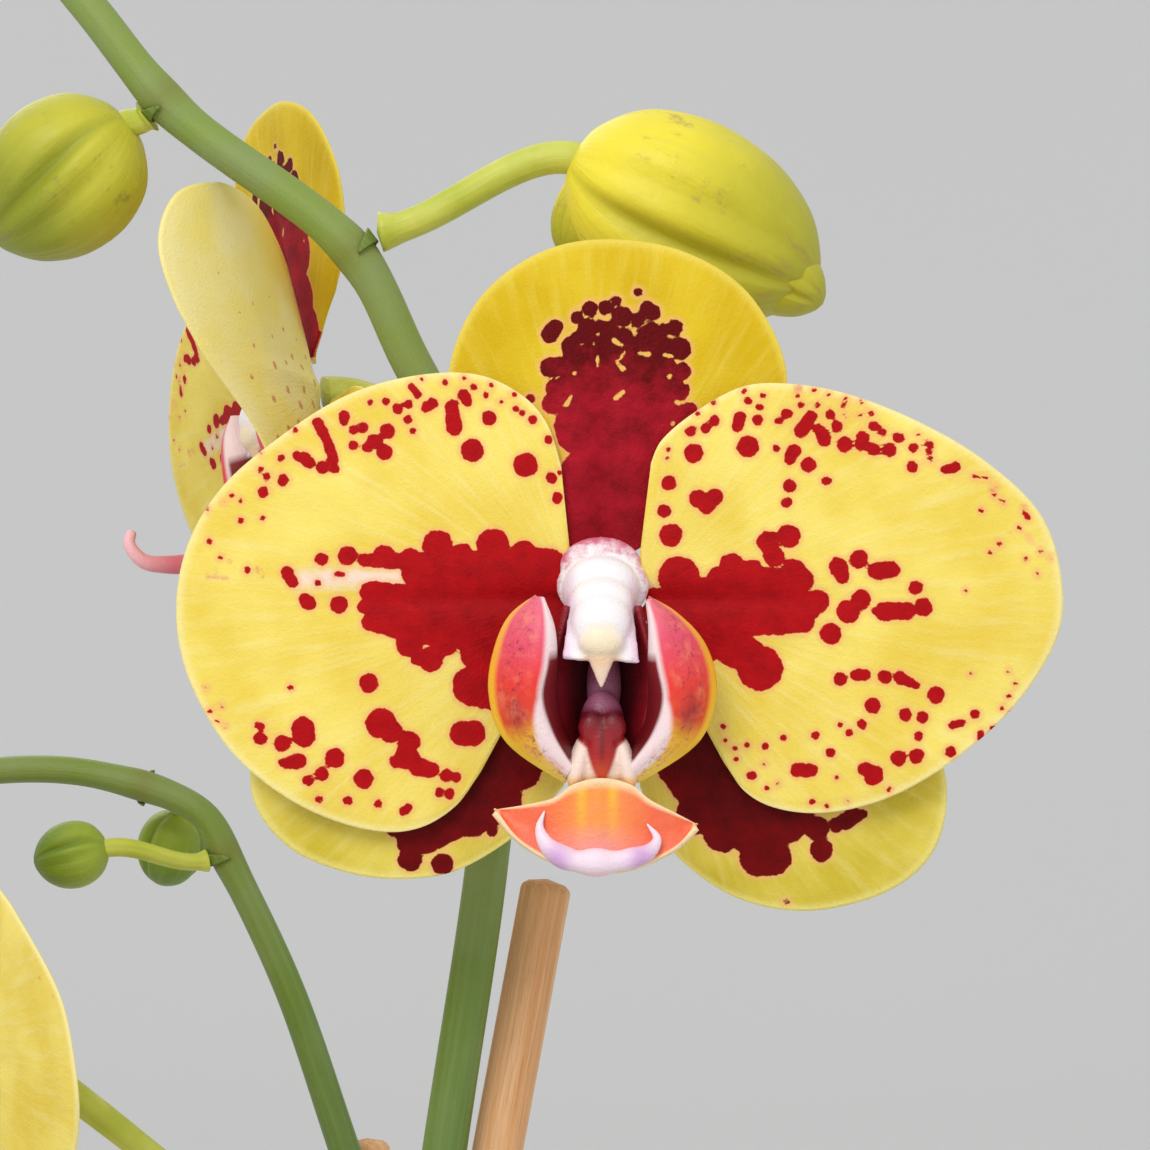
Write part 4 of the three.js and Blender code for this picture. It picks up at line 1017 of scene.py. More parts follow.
lateral_right_marks = [
    (3, -4, 3.5, 10, -16, 4.6), (9, -15, 4.5, 13, -20.5, 4.5), (12, -20, 4, 18.5, -22.3, 2.5),
    (9.5, -21.7, 2.2), (12, -23.7, 2.0), (15, -24.5, 1.8), (15.7, -26.2, 2.0, 17.2, -26.2, 1.9),
    (22.1, -25.5, 1.2), (21.6, -23.3, 1.3), (23.6, -23, 0.8), (24.4, -22.6, 0.9, 25.6, -22, 0.8),
    (26.3, -21.8, 0.5), (18.6, -30.8, 0.35), (20, -21, 1.6),
]
petal_left_pale = [(-30.6, 2.1, 1.0, -21.2, 2.3, 1.0), (-5.5, 1.2, 1.0, -3, 0.6, 2)]
petal_left_faint = [(-40.2, 2.4, 0.3, -38.2, 2.2, 0.3), (-37.9, 3.9, 0.35), (-35, 3.1, 0.4),
                    (-39.2, 3.1, 0.2), (-34.6, 2.4, 0.3)]
petal_right_pale = [(3, 0.5, 1.6, 4.6, 0.7, 0.9)]
petal_right_faint = [(42.4, 9.4, 0.5), (39.2, 11, 0.5), (19.6, 21.4, 0.6), (41, 6.8, 0.3)]
dorsal_pale = [(0, -1, 6, 0, 1.6, 3.2)]

# the side flower has one narrow petal and one blotched sepal, and the low flower a plain petal
narrow_outline = [
    (83, 14), (80, 16.5), (72, 20), (63, 24.2), (54, 28), (44, 32.5), (33, 37.5), (22, 38.5),
    (12, 36), (3, 32.5), (-5, 29.8), (-15, 27.6), (-26, 26.6), (-37, 26.2), (-47, 25.4),
    (-55, 24), (-60, 21.6), (-61, 18)]
narrow_marks = [
    (9, -3, 0.6), (12, -1.6, 0.55), (15, -4, 0.6), (7, 0, 0.5), (10.4, 1.4, 0.5), (18, -2.4, 0.55),
    (13.4, 2.4, 0.45), (20.6, 0.4, 0.5), (16.6, 1.2, 0.4), (23, -4, 0.5), (12, -5.6, 0.6),
    (17.4, -6.6, 0.6), (8.6, -6.6, 0.55), (6.6, 3.4, 0.4), (24.6, 2.4, 0.4), (19, 4.2, 0.35),
    (14.6, 5.6, 0.35), (10, 5, 0.35), (21, -7.6, 0.55), (27, -1.6, 0.4), (26.4, 6.4, 0.3),
    (22.4, 8, 0.3), (17, 9.4, 0.3), (29, 11, 0.3), (25, 14.6, 0.3), (20, 15, 0.25),
    (14, -9, 0.6), (11, -10.6, 0.6), (24.6, -9, 0.5), (18, -11, 0.55), (5, -4, 0.5),
]
blotched_marks = lateral_right_marks + [
    (15, -11, 2.4), (21, -13.5, 2.6), (26, -17.5, 2.2), (18, -23, 2.6), (25, -24, 2.0),
    (30, -13, 1.6), (31, -19, 1.4), (24, -9, 1.2), (28.5, -22.5, 1.0), (33, -16, 0.8),
    (22, -27.5, 1.2), (32, -11, 0.6),
]
special_tepals = {
    ("flower_side", "petal_right"): (narrow_outline, narrow_marks, []),
    ("flower_side", "lateral_sepal_right"): (lateral_right_outline, blotched_marks, []),
    ("flower_low", "petal_right"): (petal_right_outline, [], petal_right_faint),
}

gentle = {"tilt": 2.3, "curl": -0.0024}
flowers = [
    {"name": "flower_front", "place": (44, -24, 427.5), "facing": -90, "nod": 0, "roll": 0,
     "size": 1, "left": gentle, "right": gentle, "sepal_tilts": (0, 0, 0), "fine": 1.0,
     "spike": "main_spike", "joint": 421, "out": (1, -0.3, 0), "pull": 9},
    {"name": "flower_side", "place": (11.6, 23, 450.6), "facing": -152, "nod": 9, "roll": -14,
     "size": 0.92, "left": {"tilt": 4, "curl": -0.001}, "right": {"tilt": 32, "curl": 0.015},
     "sepal_tilts": (0, -3, 17), "fine": 0.55,
     "spike": "main_spike", "joint": 444, "out": (0, 1, 0), "pull": 7},
    {"name": "flower_low", "place": (-31, 20, 378), "facing": -150, "nod": 6, "roll": 0,
     "size": 0.92, "left": gentle, "right": gentle, "sepal_tilts": (0, 0, 0), "fine": 0.55,
     "spike": "second_spike", "joint": 345, "out": (-1, -0.5, -0.3), "pull": 11},
]
for flower in flowers:
    flower["basis"] = basis_of(flower["facing"], flower["nod"], flower["roll"])
    dorsal_tilt, left_tilt, right_tilt = flower["sepal_tilts"]
    petal = {"level": 1.3, "cup": -0.002, "ripple": 0.42}
    sepal = {"level": 0, "curl": -0.003, "cup": -0.002, "ripple": -0.35}
    tepals = [
        ("petal_left", petal_skin, "petal",
         {"outline": petal_left_outline, "axis": 180, "side": -1, "claw": math.pi,
          **petal, **flower["left"]},
         petal_left_marks, [], petal_left_pale, petal_left_faint, (250, 120)),
        ("petal_right", petal_skin, "petal",
         {"outline": petal_right_outline, "axis": 0, "side": 1, "claw": 0, **petal,
          **flower["right"]},
         petal_right_marks, [], petal_right_pale, petal_right_faint, (250, 120)),
        ("dorsal_sepal", dorsal_skin, "dorsal_sepal",
         {"outline": dorsal_outline, "axis": 90, "side": 1, "claw": math.pi / 2,
          "tilt": dorsal_tilt, **sepal},
         dorsal_marks, dorsal_gaps, dorsal_pale, [], (180, 120)),
        ("lateral_sepal_left", lateral_skin, "lateral_sepal",
         {"outline": lateral_left_outline, "axis": 215, "side": 1,
          "claw": math.radians(225), "tilt": left_tilt, **sepal},
         lateral_left_marks, [], [], [], (130, 90)),
        ("lateral_sepal_right", lateral_skin, "lateral_sepal",
         {"outline": lateral_right_outline, "axis": -39, "side": -1,
          "claw": math.radians(-45), "tilt": right_tilt, **sepal},
         lateral_right_marks, [], [], [], (130, 90)),
    ]
    for part, skin, slot, form, marks, gaps, pale, faint, grid in tepals:
        own = special_tepals.get((flower["name"], part))
        if own:
            form["outline"], marks, faint = own
        surface = tepal_surface(flower, form, marks, gaps, pale, faint)
        columns, rows = [round(count * flower["fine"]) for count in grid]
        blade_piece = add_sheet(columns, rows, surface, 0.62 * flower["size"], 0.4)
        node = f"{flower['name']}_{part}"
        finish_piece(blade_piece, node + "_blade", node, skin)

# ---------- columns ----------
# The white column stands over the claws of all five tepals. It carries a cream anther cap, two
# small wings at its lower corners and a pointed beak, and is tinted lilac at its sides.


def add_ball(centre, radii, turn=0.0, sides=28):
    bpy.ops.mesh.primitive_uv_sphere_add(segments=sides, ring_count=sides // 2, radius=1)
    ball = bpy.context.object
    ball.scale = radii
    ball.rotation_euler = (0, 0, math.radians(turn))
    ball.location = centre
    bpy.ops.object.transform_apply(location=True, rotation=True, scale=True)
    return ball


def fuse(parts, voxel, smoothing):
    """Grown parts run into each other, so they are made one skin."""
    body = join(parts)
    apply_modifier(body, "REMESH", mode="VOXEL", voxel_size=voxel)
    apply_modifier(body, "SMOOTH", factor=0.6, iterations=smoothing)
    bpy.ops.object.shade_smooth()
    return body


def copy_to_flower(model, flower):
    """A copy of a part drawn in the flower's own millimetres, set in its place on the plant."""
    piece = model.copy()
    piece.data = model.data.copy()
    bpy.context.scene.collection.objects.link(piece)
    places = in_flower(flower, vertex_places(model)) * MM
    piece.data.vertices.foreach_set("co", places.ravel())
    piece.data.update()
    return piece


column_voxel, column_smoothing = 0.2, 8
body_parts = [
    add_ball((-0.4, -0.6, 4.6), (3.7, 3.3, 4.6)), add_ball((-0.4, -2.4, 7.6), (3.2, 3.4, 3.2)),
    add_ball((-0.2, 1.4, 2.4), (4.7, 3.6, 1.9)), add_ball((-0.4, 3.4, 1.8), (4.2, 3.0, 1.4)),
    add_ball((-0.4, 1.0, 4.0), (3.9, 3.5, 2.8)), add_ball((-0.4, -0.8, 6.2), (3.5, 3.2, 3.0)),
    add_ball((-0.4, -4.0, 9.5), (2.35, 1.75, 1.7)),
]
for side, tip in ((-1, (-4.3, -5.8)), (1, (3.4, -6.3))):
    wing = [(-0.4 + side * 1.0, -2.0, 8.4), (-0.4 + side * 3.2, -1.4, 7.4), (tip[0], tip[1], 9.2),
            (-0.4 + side * 1.5, -6.0, 9.6)]
    bpy.ops.mesh.primitive_plane_add(size=1)
    wing_piece = bpy.context.object
    for corner, place in zip(wing_piece.data.vertices, (wing[3], wing[2], wing[0], wing[1])):
        corner.co = place
    bpy.ops.object.mode_set(mode="EDIT")
    bpy.ops.mesh.select_all(action="SELECT")
    bpy.ops.mesh.subdivide(number_cuts=4)
    bpy.ops.object.mode_set(mode="OBJECT")
    apply_modifier(wing_piece, "SOLIDIFY", thickness=0.7, offset=0)
    body_parts.append(wing_piece)
bpy.ops.mesh.primitive_cone_add(vertices=24, radius1=1.5, radius2=0.12, depth=3.6)
beak = bpy.context.object
beak.rotation_euler = (math.radians(90), 0, 0)
beak.scale = (1, 0.5, 1)
beak.location = (-0.4, -7.2, 9.7)
bpy.ops.object.transform_apply(location=True, rotation=True, scale=True)
body_parts.append(beak)
column_model = fuse(body_parts, column_voxel, column_smoothing)
set_layer(column_model, "flat", vertex_places(column_model))

column_skin = Finish("column_skin", {"Specular IOR Level": 0.45, "Coat Weight": 0.15,
                                     "Coat Roughness": 0.25})
flat = column_skin.attribute("flat", 1)
x, y, n = column_skin.axes(flat)
cloud = column_skin.noise(flat, 0.5, 4)
sparkle = column_skin.noise(flat, 5, 3)
side_reach = (x + 0.4).size()
lilac = column_skin.ramp(side_reach + cloud, 2.6, 4.4) * column_skin.ramp(n, 4, 6)
white = column_skin.mix(lilac * 0.75, shade(252, 247, 250), shade(226, 180, 216))


def distance_to(skin, spot, place):
    return skin.node("VectorMath", {"operation": "DISTANCE"}, {0: spot, 1: place}, 1)


to_cap = distance_to(column_skin, flat, (-0.4, -4.5, 10.6))
cream = (1 - column_skin.ramp(to_cap, 1.3, 3.0)) * 0.85
white = column_skin.mix(cream, white, shade(252, 230, 190))
low_down = 1 - column_skin.ramp(y + 0.4 * cloud, -5.8, -4.8)
below = low_down * (1 - column_skin.ramp(side_reach, 1.4, 2.6))
white = column_skin.mix(below * 0.6, white, shade(238, 184, 134))
to_middle = distance_to(column_skin, flat, (-0.3, 0.6, 2.4))
ragged = column_skin.noise(flat, 0.9, 5, 0.7)
flush = column_skin.ramp(to_middle + 4 * ragged, 5.9, 7.9) * (1 - column_skin.ramp(n, 3.5, 5))
white = column_skin.mix(flush * 0.9, white, shade(206, 60, 104))
column_skin.send("Base Color", white)
column_skin.send("Roughness", 0.36 + 0.15 * sparkle)
column_skin.relief(sparkle + cloud, 0.1 * MM)

# ---------- lips ----------
# The third petal, shaped for a landing bee: two side lobes stand up like cupped hands, a red
# callus rides on the claw between them, and the anchor-shaped midlobe ends in a turned-up rim.


def lobe_surface(outer, ridge, inner):
    outer, ridge, inner = [smooth_route(line, 101) for line in (outer, ridge, inner)]

    def surface(across, along):
        index = np.rint(along * 100).astype(int)
        first, third, last = outer[index], ridge[index], inner[index]
        bulge = np.sin(math.pi * along)[:, None] * np.array([0, 0, 1.3])
        second = 0.52 * first + 0.48 * third + bulge
        u = across[:, None]
        places = (-4.5 * (u - 1 / 3) * (u - 2 / 3) * (u - 1) * first
                  + 13.5 * u * (u - 2 / 3) * (u - 1) * second
                  - 13.5 * u * (u - 1 / 3) * (u - 1) * third
                  + 4.5 * u * (u - 1 / 3) * (u - 2 / 3) * last)
        return places / MM, {"tint": lobe_tint(across, along),
                             "veined": 1 - np.abs(across - 0.34) * 3.2,
                             "fan": np.column_stack([along * 20, across * 8, 0 * along])}

    return surface


def blend_colours(stops, share):
    """Colours at shares along a line, run smoothly into each other."""
    shares = [stop[0] for stop in stops]
    colours = np.array([shade(*stop[1]) for stop in stops])
    return np.column_stack([np.interp(share, shares, colours[:, k]) for k in range(4)])


def lay_over(under, over, share):
    share = np.clip(share, 0, 1)[:, None]
    return under * (1 - share) + over * share


def lobe_tint(across, along):
    tint = blend_colours([(0, (240, 116, 140)), (0.25, (232, 76, 104)), (0.46, (238, 50, 40)),
                          (0.62, (228, 64, 22)), (0.72, (250, 188, 20)),
                          (1, (250, 218, 110))], along)
    red = np.tile(shade(176, 20, 30), (len(along), 1))
    patch = np.exp(-(((along - 0.6) / 0.08) ** 2) - ((across - 0.36) / 0.1) ** 2)
    tint = lay_over(tint, red, 0.9 * patch)
    rim = blend_colours([(0, (250, 176, 90)), (0.4, (250, 178, 40)), (1, (250, 216, 60))], along)
    tint = lay_over(tint, rim, (0.15 - across) / 0.07)
    margin = np.tile(shade(252, 226, 228), (len(along), 1))
    margin_start = 0.63 - 0.3 * np.clip((along - 0.55) / 0.3, 0, 1)
    tint = lay_over(tint, margin, (across - margin_start) / 0.07)
    # the inner face of each side lobe, where it falls into the cup, goes to maroon and near-black:
    # the lobe's own red deepened by painted shade of the cup
    maroon_and_cup_shade = blend_colours([(0, (150, 30, 40)), (1, (96, 0, 4))], along)
    inside = np.clip((across - 0.7) / 0.05, 0, 1) * np.clip((along - 0.3) / 0.06, 0, 1)
    return lay_over(tint, maroon_and_cup_shade, inside * np.clip((0.99 - along) / 0.05, 0, 1))


left_lobe = (
    [(-6.87, 0.37, 8.2), (-9.45, -1.8, 8.0), (-10.9, -5.2, 7.6), (-11.35, -9.2, 7.2),
     (-9.9, -13.7, 6.8), (-3.95, -18.2, 7.0)],
    [(-6.4, 0.2, 9.0), (-6.0, -2.6, 10.8), (-6.2, -6, 11.4), (-6.8, -9.6, 11.2),
     (-5.7, -13.2, 10.2), (-3.4, -16.8, 8.6)],
    [(-6.3, 0.1, 8.2), (-5.3, -2.9, 8.4), (-5.0, -6.4, 7.8), (-4.9, -9.8, 7.2),
     (-4.2, -12.8, 6.8), (-2.9, -16.4, 7.2)],
)
right_lobe = (
    [(4.2, 0.2, 8.2), (6.9, -1.4, 8.0), (9.7, -4.4, 7.6), (10.85, -8.6, 7.2), (9.5, -13.5, 6.8),
     (3.2, -18.2, 7.0)],
    [(4.4, 0.0, 9.0), (5.0, -2.4, 10.8), (5.6, -6.0, 11.4), (6.25, -9.8, 11.2), (5.2, -13.2, 10.2),
     (2.5, -16.8, 8.6)],
    [(4.3, -0.1, 8.2), (4.6, -2.9, 8.4), (4.5, -6.6, 7.8), (4.5, -9.8, 7.2), (3.8, -12.8, 6.8),
     (2.1, -16.4, 7.2)],
)


def midlobe_surface(across, along):
    top = smooth_route([(-11, -20.85, 0), (-7.4, -20.2, 0), (-4.9, -19.5, 0), (-3.3, -18.3, 0),
                        (-0.4, -17.6, 0), (2.6, -18.3, 0), (4.3, -19.7, 0), (6.7, -21, 0),
                        (9.1, -22.3, 0)], 181)
    bottom = smooth_route([(-11, -21.1, 0), (-9, -23.6, 0), (-6.6, -25.3, 0), (-3.6, -26.6, 0),
                           (-0.6, -27.0, 0), (2.5, -26.7, 0), (5.2, -25.7, 0), (7.4, -24.4, 0),
                           (9.1, -22.6, 0)], 181)
    index = np.rint((1 - across) * 180).astype(int)
    places = top[index] * (1 - along[:, None]) + bottom[index] * along[:, None]
    x, y = places[:, 0] + 0.8, places[:, 1]
    ridge = 0.35 * np.exp(-((x / 1.0) ** 2)) * (1 - along)
    places[:, 2] = 9.1 - 0.016 * x**2 + 0.9 * along**3 + ridge
    edge = np.minimum.reduce([along * 3.4, (1 - along) * 6, (1 - np.abs(across - 0.5) * 2) * 6])
    tint = blend_colours([(0, (252, 156, 66)), (0.3, (250, 138, 64)), (0.62, (244, 106, 66)),
                          (1, (242, 100, 60))], np.clip(np.abs(x) / 9 + 0.05 * along, 0, 1))
    gold = np.tile(shade(252, 192, 48), (len(x), 1))
    streaks = np.exp(-(((np.abs(x) - 1.5) / 0.55) ** 2)) * np.clip(1.2 - along * 1.5, 0, 1)
    tint = lay_over(tint, gold, 0.85 * streaks)
    pink = np.tile(shade(240, 150, 160), (len(x), 1))
    flushed = np.exp(-((x / 3.6) ** 2)) * np.clip((along - 0.45) / 0.25, 0, 1)
    tint = lay_over(tint, pink, 0.7 * flushed)
    pale = np.tile(shade(252, 220, 170), (len(x), 1))
    tint = lay_over(tint, pale, (0.42 - edge) / 0.3)
    return places / MM, {"tint": tint, "veined": 0.3 + 0 * x,
                         "fan": np.column_stack([x * 1.4, y * 0.35, 0 * x])}


def shaded_cup_surface(across, along):
    """The cup behind the callus, which joins the two side lobes. Its colour is painted shade over
    the lip's own dark red, near-black in the middle under the callus.
    """
    half = np.interp(along, [0, 0.3, 0.6, 0.85, 1], [3.6, 4.9, 4.9, 4.0, 2.8])
    x, y = (across * 2 - 1) * half - 0.25, -0.6 - 15.8 * along
    n = 3.0 + 4.6 * np.abs(across * 2 - 1) ** 2.2
    # painted shade of the cup: near-black in its middle under the callus, lighter dark red towards
    # the side lobes
    tint = blend_colours([(0, (46, 2, 8)), (0.6, (70, 4, 12)), (1, (140, 14, 28))],
                         np.abs(across * 2 - 1))
    return np.column_stack([x, y, n]) / MM, {
        "tint": tint, "veined": 0 * x, "fan": np.column_stack([x, y, 0 * x])}


def paint(piece, tint, places):
    """Gives a part its colours, and its own places for the grain of its skin."""
    set_layer(piece, "tint", tint)
    set_layer(piece, "veined", 0 * places[:, 0])
    set_layer(piece, "fan", places)
    set_layer(piece, "flat", places)


lip_parts = []
for outline in (left_lobe, right_lobe):
    lip_parts.append(add_sheet(64, 100, lobe_surface(*outline)))
lip_parts.append(add_sheet(180, 60, midlobe_surface))
lip_parts.append(add_sheet(40, 40, shaded_cup_surface))
for part in lip_parts:
    apply_modifier(part, "SOLIDIFY", thickness=0.62, offset=0)
    set_layer(part, "flat", vertex_places(part))

# the turned-up rim of the midlobe, thick in the middle and drawn out to a hook at each end
rim_route = smooth_route([(-6.0, -20.8, 9.2), (-6.5, -22.5, 9.5), (-5.7, -24.3, 9.8),
                          (-3.6, -25.6, 10.0), (-0.8, -25.9, 10.1), (2.3, -25.6, 10.0),
                          (4.5, -24.7, 9.8), (5.1, -23.6, 9.5), (4.1, -22.1, 9.2)], 110)


def rim_radius_at(share, angle):
    middle = np.sin(math.pi * share) ** 1.15
    notch = 1 - 0.22 * np.exp(-(((share - 0.4) / 0.06) ** 2)) - 0.22 * np.exp(
        -(((share - 0.62) / 0.07) ** 2))
    return (0.1 + 1.72 * middle * notch) * (0.72 + 0.28 * np.abs(np.cos(angle)))


turned_rim = add_stem(rim_route, rim_radius_at, 28)
turned_rim.data.vertices.foreach_set("co", (vertex_places(turned_rim) / MM).ravel())
places = vertex_places(turned_rim)
rim_tint = np.tile(shade(246, 222, 236), (len(places), 1))
lilac_tint = np.tile(shade(210, 160, 214), (len(places), 1))
at_corners = np.exp(-(((np.abs(places[:, 0] + 0.6) - 4.2) / 1.3) ** 2))
at_corners = at_corners * np.clip((-23.4 - places[:, 1]) / 1.5, 0, 1)
rim_tint = lay_over(rim_tint, lilac_tint, 0.9 * at_corners)
blush_tint = np.tile(shade(240, 190, 190), (len(places), 1))
rim_tint = lay_over(rim_tint, blush_tint, 0.8 * np.clip((-26.4 - places[:, 1]) / 0.8, 0, 1)
                    * np.exp(-((places[:, 0] / 3) ** 2)))
paint(turned_rim, rim_tint, places)
lip_parts.append(turned_rim)

callus = fuse([
    add_ball((-0.1, -8.6, 4.4), (1.75, 4.6, 1.5)), add_ball((-0.3, -12.6, 6.6), (2.3, 3.6, 2.2)),
    add_ball((-1.45, -12.5, 8.6), (1.25, 1.5, 1.3), -12),
    add_ball((0.85, -12.5, 8.6), (1.25, 1.5, 1.3), 12),
    add_ball((-0.35, -14.6, 8.7), (1.45, 3.3, 1.25)),
    add_ball((-2.6, -16.0, 7.7), (1.0, 3.0, 1.6), -14),
    add_ball((1.95, -16.0, 7.7), (1.0, 3.0, 1.6), 14),
    add_ball((-0.35, -16.4, 7.6), (2.4, 2.6, 1.3)),
], 0.2, 3)
places = vertex_places(callus)
tint = np.tile(shade(250, 224, 210), (len(places), 1))
x, y = places[:, 0] + 0.35, places[:, 1]
gold = np.tile(shade(250, 190, 90), (len(places), 1))
tint = lay_over(tint, gold, (-17.2 - y) / 1.2)
tongue = 1.75 * np.sqrt(np.clip((y + 18.1) / 3.6, 0, 1)) + 1.1 * np.clip((y + 14.6) / 1.0, 0, 1)
red = blend_colours([(-18, (214, 78, 24)), (-15.5, (176, 20, 20)), (-13.2, (150, 12, 26)),
                     (-11.4, (98, 8, 22))], y)
tint = lay_over(tint, red, (tongue - np.abs(x)) / 0.35)
dark_line = np.tile(shade(92, 0, 8), (len(places), 1))
tint = lay_over(tint, dark_line, 0.7 * np.exp(-((x / 0.3) ** 2)) * np.clip((y + 16.4) / 1.5, 0, 1))
mauve = blend_colours([(-11.5, (120, 46, 74)), (-9, (164, 98, 126)), (-6, (128, 62, 88))], y)
tint = lay_over(tint, mauve, (y + 11.3) / 0.7)
paint(callus, tint, places)
lip_parts.append(callus)
lip_model = join(lip_parts)
bpy.ops.object.shade_smooth()

lip_skin = Finish("lip_skin", {"Specular IOR Level": 0.45, "Coat Weight": 0.1,
                               "Coat Roughness": 0.3})
flat, fan = lip_skin.attribute("flat", 1), lip_skin.attribute("fan", 1)
tint = lip_skin.attribute("tint", 0)
veined = lip_skin.attribute("veined")
streaks = lip_skin.noise(lip_skin.stretch(fan, (0.35, 2.4, 0)), 1.0, 4, 0.65)
soft = lip_skin.noise(flat, 0.7, 4)
fine = lip_skin.noise(flat, 3.4, 3)
warmed = lip_skin.ramp(soft, 0.45, 0.75) * lip_skin.ramp(veined, 0.0, 0.5) * 0.4
surface_tint = lip_skin.mix(warmed, tint, shade(252, 150, 110))
speckle = lip_skin.ramp(lip_skin.noise(flat, 1.5, 5, 0.75), 0.5, 0.66)
vein_share = lip_skin.ramp(streaks, 0.52, 0.72) * lip_skin.ramp(veined, 0.05, 0.7) * 0.4
vein_share = vein_share.most(speckle * lip_skin.ramp(veined, 0.2, 0.8) * 0.75)
surface_tint = lip_skin.mix(vein_share, surface_tint, shade(146, 20, 66))
lip_skin.send("Base Color", surface_tint)
lip_skin.send("Roughness", 0.36 + 0.18 * fine)
lip_skin.relief(0.7 * streaks + 0.6 * fine, 0.14 * MM)

# ---------- pedicels ----------
# Each flower hangs from the spike on its own arching stalk, which thickens and is faintly
# ribbed where it becomes the ovary behind the flower. The columns and lips go on here too.

pedicel_skin = Finish("pedicel_skin", {"Specular IOR Level": 0.4})
grain = pedicel_skin.attribute("grain", 1)
streaks = pedicel_skin.noise(pedicel_skin.stretch(grain, (1.6, 1.6, 0.05)), 1.0, 3, 0.6)
clouds = pedicel_skin.noise(grain, 0.16, 3)
paler = pedicel_skin.ramp(clouds, 0.3, 0.7)
soft_green = pedicel_skin.mix(paler, shade(182, 190, 60), shade(210, 212, 98))
lined = pedicel_skin.ramp(streaks, 0.5, 0.8) * 0.4
soft_green = pedicel_skin.mix(lined, soft_green, shade(150, 168, 52))
pedicel_skin.send("Base Color", soft_green)
pedicel_skin.send("Roughness", 0.38 + 0.2 * streaks)
pedicel_skin.relief(streaks, 0.14 * MM)


def stalk_route(start, out, end, into, pull, count):
    out, into = [np.array(way, float) / np.linalg.norm(way) for way in (out, into)]
    corners = [np.array(start, float), start + out * pull, end - into * pull, np.array(end, float)]
    t = np.linspace(0, 1, 200)[:, None]
    line = ((1 - t) ** 3 * corners[0] + 3 * (1 - t) ** 2 * t * corners[1]
            + 3 * (1 - t) * t**2 * corners[2] + t**3 * corners[3])
    return evenly(line, count)


for flower in flowers:
    name = flower["name"]
    finish_piece(copy_to_flower(column_model, flower), name + "_column_white", name + "_column",
                 column_skin)
    finish_piece(copy_to_flower(lip_model, flower), name + "_lip_lobes", name + "_lip",
                 lip_skin)
    front = flower["basis"][2]
    back = np.array(flower["place"]) - front * (flower["size"] * 0.4 + seat_gap)
    carrier = spikes[flower["spike"]]
    start, _, _ = spike_seat(carrier, flower["joint"], flower["out"], 1.6)
    route = stalk_route(start, flower["out"], back, front, flower["pull"], 90)

    def pedicel_radius(share, angle):
        ribs = 0.05 * np.cos(6 * angle + 3 * share) * np.clip((share - 0.35) / 0.3, 0, 1)
        foot = 0.25 * np.exp(-((share / 0.05) ** 2))
        return (1.5 + 0.4 * share**2 + foot) * (1 + ribs)

    stalk = add_stem(route, pedicel_radius, 36)
    finish_piece(stalk, name + "_pedicel_stalk", name + "_pedicel", pedicel_skin)

# the side flower's lip ends in a long curled tip
side_flower = flowers[1]
curl_route = in_flower(side_flower, smooth_route([
    (-1, -21.5, 10), (-1, -19.6, 14), (-1, -18.4, 19), (-1, -17.9, 24), (-1, -16.9, 27.2),
    (-1, -14.6, 28.4), (-1, -13, 27.6)], 120))
curl = add_stem(curl_route, lambda share, angle: 1.6 - 1.05 * share**1.4, 24, (0, 0.5))
spots = vertex_places(curl)
share = np.clip((curl_route[0, 0] - spots[:, 0] / MM) / np.ptp(curl_route[:, 0]), 0, 1)
curl_tint = blend_colours([(0, (190, 84, 104)), (0.7, (214, 110, 130)),
                           (1, (244, 186, 194))], share)
paint(curl, curl_tint, spots / MM)
finish_piece(curl, "flower_side_lip_tendril", "flower_side_lip", lip_skin)
for model in (column_model, lip_model):
    bpy.data.objects.remove(model)

# ---------- buds ----------
# Unopened flowers: three sepals closed edge to edge over the petals, which shows as three long
# furrows and a short point. The older ones are yellow, and the young ones are still green.


def bud_finish(name, ripe, green, worn):
    skin = Finish(name, {"Specular IOR Level": 0.4, "Sheen Weight": 0.05})
    turn = skin.attribute("turn", 1)
    _, length, furrow = skin.axes(turn)
    spot = skin.place()
    patches = skin.noise(spot, 110, 4)
    veins = skin.noise(skin.stretch(turn, (7, 0.8, 0)), 1.0, 4, 0.6)
    fine = skin.noise(spot, 900, 3)
    base = skin.mix(skin.ramp(length + 0.5 * patches, 0.3, 1.2), ripe, green)
    base = skin.mix(furrow * 0.8, base, green)
    base = skin.mix(skin.ramp(veins, 0.5, 0.8) * 0.35, base, shade(204, 196, 84))
    stain = skin.ramp(skin.noise(skin.stretch(turn, (2.4, 5, 0)), 1.0, 5, 0.75), 0.56, 0.7)
    base = skin.mix(stain * 0.6, base, worn)
    skin.send("Base Color", base)
    skin.send("Roughness", 0.4 + 0.2 * fine)
    skin.relief(0.7 * veins + 0.5 * fine, 0.2 * MM)
    return skin


yellow_bud = bud_finish("bud_yellow", shade(244, 226, 56), shade(176, 172, 30), shade(170, 136, 78))
olive_bud = bud_finish("bud_olive", shade(200, 194, 52), shade(136, 144, 24), shade(136, 122, 54))
green_bud = bud_finish("bud_green", shade(152, 172, 50), shade(100, 132, 34), shade(128, 132, 60))
BUD_SHARES = [0, 0.04, 0.2, 0.42, 0.64, 0.84, 0.97, 1]
BUD_WIDTHS = [0, 0.4, 0.84, 1, 0.94, 0.68, 0.26, 0]


